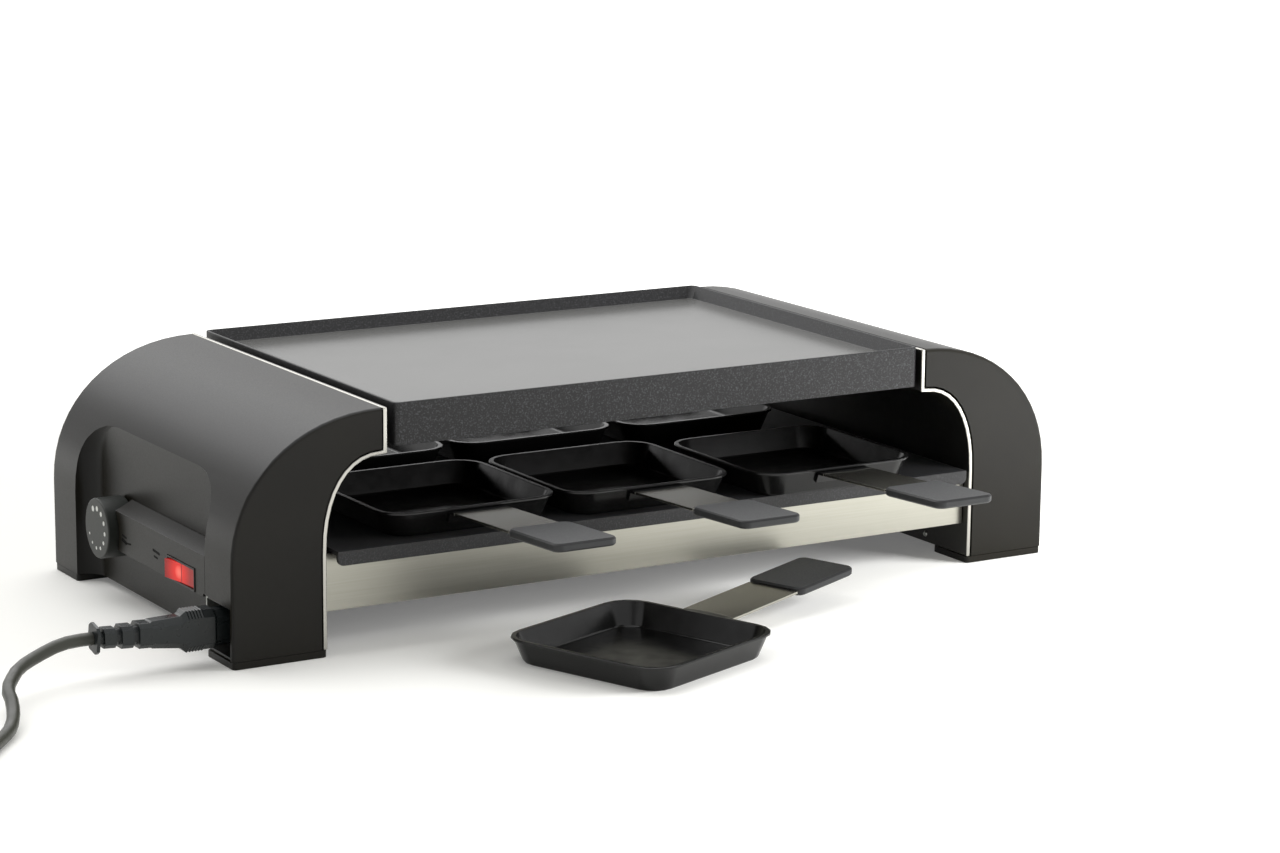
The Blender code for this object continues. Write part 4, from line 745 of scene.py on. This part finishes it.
def ease(shading, width, *names):
    """Rounds the sharp edges of nodes by this width and shades their curves smooth."""
    for name in names:
        stack = NODES[name].modifiers
        stack.new("joined_facets", "WELD").merge_threshold = WELD_REACH
        whole = stack.new("whole_faces", "DECIMATE")
        whole.decimate_type = "DISSOLVE"
        whole.angle_limit = FLAT_WITHIN
        edge = stack.new("eased_edges", "BEVEL")
        edge.width = width
        edge.segments = EDGE_STEPS
        edge.limit_method = "ANGLE"
        edge.angle_limit = EDGE_FROM
        stack.new("smooth_faces", "NODES").node_group = shading
        stack.new("level_faces", "WEIGHTED_NORMAL").keep_sharp = False


def ease_all():
    """What a mould, a press brake or a file leaves on each piece's edges."""
    shading = smooth_faces()
    ease(shading, HOUSING_EDGE, *of_sides("cover"), "grill_plate")
    ease(shading, MOULDED_EDGE, "thermostat_knob", "connector", "control_bar", "mains_plug")
    ease(shading, MOULDED_EDGE, *of_corners("foot"), *of_pans("grip"), "shelf_plate")
    ease(shading, FINE_EDGE, "front_panel", "rear_panel", "rocker_switch", "inlet_socket")
    ease(shading, ROLLED_EDGE, *of_corners("trim"), *of_sides("top_trim"))
    ease(shading, SHEET_EDGE, *of_sides("liner"), *of_pans("handle_strip", "tray"))
    ease(shading, SHEET_EDGE, "switch_housing", "heating_element", "thermostat", "coil_tie")


# Small details


def mesh_piece(name, shape, finish, body):
    """Turns a bmesh into a piece that rides on a body."""
    bmesh.ops.recalc_face_normals(shape, faces=shape.faces)
    mesh = bpy.data.meshes.new(name)
    shape.to_mesh(mesh)
    shape.free()
    mesh.materials.append(finish)
    piece = bpy.data.objects.new(name, mesh)
    bpy.context.scene.collection.objects.link(piece)
    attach(piece, body)


def prism(shape, outline, back):
    """A thin closed slab on an outline, drawn back by a vector."""
    front = [shape.verts.new(spot) for spot in outline]
    behind = [shape.verts.new(Vector(spot) + back) for spot in outline]
    shape.faces.new(front)
    shape.faces.new(behind[::-1])
    for at in range(len(outline)):
        after = (at + 1) % len(outline)
        shape.faces.new((front[at], behind[at], behind[after], front[after]))


# The knob's dots: the ring they stand on, their turn from the top, and their radius
DOT_RING = 13.4 * MM
DOT_STEP = 30.0
DOT_START = -25.0
DOT_COUNT = 10
DOT_LARGEST = 1.9 * MM
DOT_SMALLEST = 0.85 * MM
DOT_SIDES = 24


def knob_dots(ink):
    """Ten printed dots round the knob's face, each a little larger than the one before."""
    low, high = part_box("thermostat_knob")
    centre_y, centre_z = (low.y + high.y) / 2, (low.z + high.z) / 2
    shape = bmesh.new()
    for dot in range(DOT_COUNT):
        turn = math.radians(DOT_START + DOT_STEP * dot)
        radius = DOT_LARGEST + (DOT_SMALLEST - DOT_LARGEST) * dot / (DOT_COUNT - 1)
        y = centre_y - DOT_RING * math.sin(turn)
        z = centre_z + DOT_RING * math.cos(turn)
        round_edge = []
        for at in range(DOT_SIDES):
            angle = 2 * math.pi * at / DOT_SIDES
            spot = (y + radius * math.cos(angle), z + radius * math.sin(angle))
            round_edge.append((low.x - PRINT_THICKNESS, *spot))
        prism(shape, round_edge, Vector((PRINT_THICKNESS, 0, 0)))
    mesh_piece("knob_dots", shape, ink, "knob")


# Dashes on the bar's face from the middle of the grill: where each starts and ends, and how thick
DASHES = (
    ((0.0248, 0.0490), (0.0186, 0.0483), 0.7 * MM),
    ((0.0250, 0.0460), (0.0190, 0.0448), 1.2 * MM),
    ((0.0190, 0.0448), (0.0115, 0.0456), 0.6 * MM),
    ((-0.0250, 0.0500), (-0.0345, 0.0492), 0.9 * MM),
    ((-0.0265, 0.0462), (-0.0315, 0.0458), 0.7 * MM),
)
DASH_END_STEPS = 6


def bar_dashes(ink):
    """Small generic dashes printed beside the knob and the switch."""
    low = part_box("control_bar")[0]
    shape = bmesh.new()
    for start, end, half in DASHES:
        run = Vector((end[0] - start[0], end[1] - start[1]))
        lean = math.atan2(run.y, run.x)
        outline = []
        for spot, turn in ((end, lean - math.pi / 2), (start, lean + math.pi / 2)):
            for at in range(DASH_END_STEPS + 1):
                angle = turn + math.pi * at / DASH_END_STEPS
                y = CENTRE.y + spot[0] + half * math.cos(angle)
                z = spot[1] + half * math.sin(angle)
                outline.append((low.x - PRINT_THICKNESS, y, z))
        prism(shape, outline, Vector((PRINT_THICKNESS, 0, 0)))
    mesh_piece("bar_dashes", shape, ink, "grill")


# A pan-head screw: rings from the middle out, as shares of its radius and its height, and the
# cross recess, as shares of the same
SCREW_RINGS = ((0.18, 1.0), (0.36, 0.98), (0.54, 0.92), (0.72, 0.78), (0.88, 0.52), (1.0, 0.14))
SCREW_SIDES = 32
SCREW_HEIGHT_SHARE = 0.5
SCREW_CROSS_HALF = 0.16
SCREW_CROSS_REACH = 0.6
SCREW_CROSS_DEPTH = 0.5


def screw_head(shape, spot, outward, radius):
    """A domed screw head with a cross recess, standing on a face."""
    turn = outward.to_track_quat("Z", "Y").to_matrix().to_4x4()
    place = Matrix.Translation(spot) @ turn
    rings = []
    for share, raise_share in SCREW_RINGS:
        ring = []
        for at in range(SCREW_SIDES):
            angle = 2 * math.pi * at / SCREW_SIDES
            height = raise_share
            arm = share * min(abs(math.cos(angle)), abs(math.sin(angle)))
            if share < SCREW_CROSS_REACH and arm < SCREW_CROSS_HALF:
                height -= SCREW_CROSS_DEPTH
            up = radius * SCREW_HEIGHT_SHARE * height
            across = Vector((math.cos(angle), math.sin(angle), 0)) * radius * share
            ring.append(shape.verts.new(place @ (across + Vector((0, 0, up)))))
        rings.append(ring)
    base = []
    for vert in rings[-1]:
        flat = place.inverted() @ vert.co
        base.append(shape.verts.new(place @ Vector((flat.x, flat.y, 0))))
    rings.append(base)
    for inner, outer in zip(rings, rings[1:]):
        for at in range(SCREW_SIDES):
            after = (at + 1) % SCREW_SIDES
            shape.faces.new((inner[at], outer[at], outer[after], inner[after]))
    shape.faces.new(rings[0])
    shape.faces.new(base[::-1])


# Screws of the legs and of the rear panel: their size, and how far in from the ends they sit
LINER_SHEET = 2.2 * MM
LEG_SCREW_RADIUS = 2.0 * MM
LEG_SCREW_HEIGHT = 10.5 * MM
LEG_SCREW_IN = 49.5 * MM
PANEL_SCREW_RADIUS = 2.6 * MM
PANEL_SCREW_IN = 14 * MM


def screws(finish):
    """Screws in the legs' inner walls and at the ends of the rear panel."""
    shape = bmesh.new()
    left_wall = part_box("left_liner")[0].x + LINER_SHEET
    right_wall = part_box("right_liner")[1].x - LINER_SHEET
    for wall, outward in ((left_wall, Vector((1, 0, 0))), (right_wall, Vector((-1, 0, 0)))):
        for y in (BODY_LOW.y + LEG_SCREW_IN, BODY_HIGH.y - LEG_SCREW_IN):
            screw_head(shape, Vector((wall, y, LEG_SCREW_HEIGHT)), outward, LEG_SCREW_RADIUS)
    low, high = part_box("rear_panel")
    for x in (low.x + PANEL_SCREW_IN, high.x - PANEL_SCREW_IN):
        spot = Vector((x, high.y, (low.z + high.z) / 2))
        screw_head(shape, spot, Vector((0, 1, 0)), PANEL_SCREW_RADIUS)
    mesh_piece("pan_head_screws", shape, finish, "grill")


# Stage and light


# The table shows its own shade near the grill, and glows as white as the room further out
FLOOR_SIZE = 12.0
FLOOR_DROP = 0.05 * MM
FLOOR_COLOUR = "#f3f3f1"
FLOOR_LIFT = 0.13
LIFT_STARTS = 0.62
LIFT_ENDS = 1.15
# The room's share of light on what it lights, and its tint there
SKY_FILL = 0.3
SKY_TINT = "#fffdf2"
MAIN_LIGHT_FROM = Vector((0.0, 0.55, 1.0))
MAIN_LIGHT_ANGLE = 80.0
MAIN_LIGHT_STRENGTH = 2.6


def seen_directly(tree):
    """One where the ray comes from the camera, a gloss or through glass, and zero elsewhere."""
    path = add(tree, "ShaderNodeLightPath").outputs
    rays = {0: path["Is Glossy Ray"], 1: path["Is Transmission Ray"]}
    shiny = add(tree, "ShaderNodeMath", rays, operation="MAXIMUM")
    return add(tree, "ShaderNodeMath", {0: shiny, 1: path["Is Camera Ray"]}, operation="MAXIMUM")


def lay_floor():
    """A white table that keeps the grill's shadow and turns into the white room further out."""
    data = bpy.data.meshes.new("floor")
    half = FLOOR_SIZE / 2
    corners = [(-half, -half, 0), (half, -half, 0), (half, half, 0), (-half, half, 0)]
    data.from_pydata(corners, [], [(0, 1, 2, 3)])
    floor = bpy.data.objects.new("floor", data)
    floor.location.z = -FLOOR_DROP
    bpy.context.scene.collection.objects.link(floor)
    made = bpy.data.materials.new("white_table")
    made.use_nodes = True
    made.cycles.emission_sampling = "NONE"
    tree = made.node_tree
    tree.nodes.remove(tree.nodes["Principled BSDF"])
    matte = add(tree, "ShaderNodeBsdfDiffuse", {"Color": FLOOR_COLOUR})
    spots = add(tree, "ShaderNodeTexCoord").outputs["Object"]
    lift = fading(tree, spots, CENTRE, LIFT_STARTS, LIFT_ENDS, FLOOR_LIFT, 1.0)
    level = add(tree, "ShaderNodeMath", {0: seen_directly(tree), 1: lift}, operation="MULTIPLY")
    light = add(tree, "ShaderNodeEmission", {"Strength": level})
    both = add(tree, "ShaderNodeAddShader", {0: matte, 1: light})
    tree.links.new(both.outputs[0], tree.nodes["Material Output"].inputs["Surface"])
    data.materials.append(made)


def light_sky():
    """A white studio all round, which fills shadows only softly."""
    world = bpy.data.worlds.new("studio")
    bpy.context.scene.world = world
    world.use_nodes = True
    world.cycles.sampling_method = "NONE"
    tree = world.node_tree
    direct = seen_directly(tree)
    background = tree.nodes["Background"]
    strength = add(tree, "ShaderNodeMapRange", {"Value": direct, "To Min": SKY_FILL, "To Max": 1.0})
    tree.links.new(strength.outputs["Result"], background.inputs["Strength"])
    colours = {SHARE: direct, FIRST: SKY_TINT, SECOND: "#ffffff"}
    tint = add(tree, "ShaderNodeMix", colours, data_type="RGBA")
    tree.links.new(tint.outputs[MIXED], background.inputs["Color"])


def hang_sun():
    """The wide, soft main light, from above and a little behind the grill."""
    data = bpy.data.lights.new("main_light", "SUN")
    data.angle = math.radians(MAIN_LIGHT_ANGLE)
    data.energy = MAIN_LIGHT_STRENGTH
    sun = bpy.data.objects.new("main_light", data)
    sun.rotation_euler = (-MAIN_LIGHT_FROM).to_track_quat("-Z", "Y").to_euler()
    bpy.context.scene.collection.objects.link(sun)


# The soft box to the right, from the middle of the grill: where it hangs and what it faces
BOX_SPOT = Vector((0.78, -0.68, 0.32))
BOX_TARGET = Vector((0.3, -0.13, 0.08))
BOX_SIDE = 0.45
BOX_WATTS = 16.0


def hang_soft_box():
    """A small soft box that lifts the right leg and the steel, without a mirror image of it."""
    data = bpy.data.lights.new("right_box", "AREA")
    data.size = BOX_SIDE
    data.energy = BOX_WATTS
    lamp = bpy.data.objects.new("right_box", data)
    lamp.location = CENTRE + BOX_SPOT
    lamp.rotation_euler = (BOX_TARGET - BOX_SPOT).to_track_quat("-Z", "Y").to_euler()
    lamp.visible_camera = False
    lamp.visible_glossy = False
    bpy.context.scene.collection.objects.link(lamp)


place_camera()
lay_cord(lead_vinyl("cord_sheath_vinyl", "#34352f", roughness=0.4))
dress_all()
ease_all()
knob_dots(pad_ink("white_ink", "#dedfdc", roughness=0.5, ior=1.5))
bar_dashes(pad_ink("black_ink", "#060606", roughness=0.6, ior=1.15))
screws(zinc_plate("zinc_plated_screws", "#a9aaa6"))
lay_floor()
light_sky()
hang_sun()
hang_soft_box()
bpy.context.scene.view_settings.view_transform = "Standard"
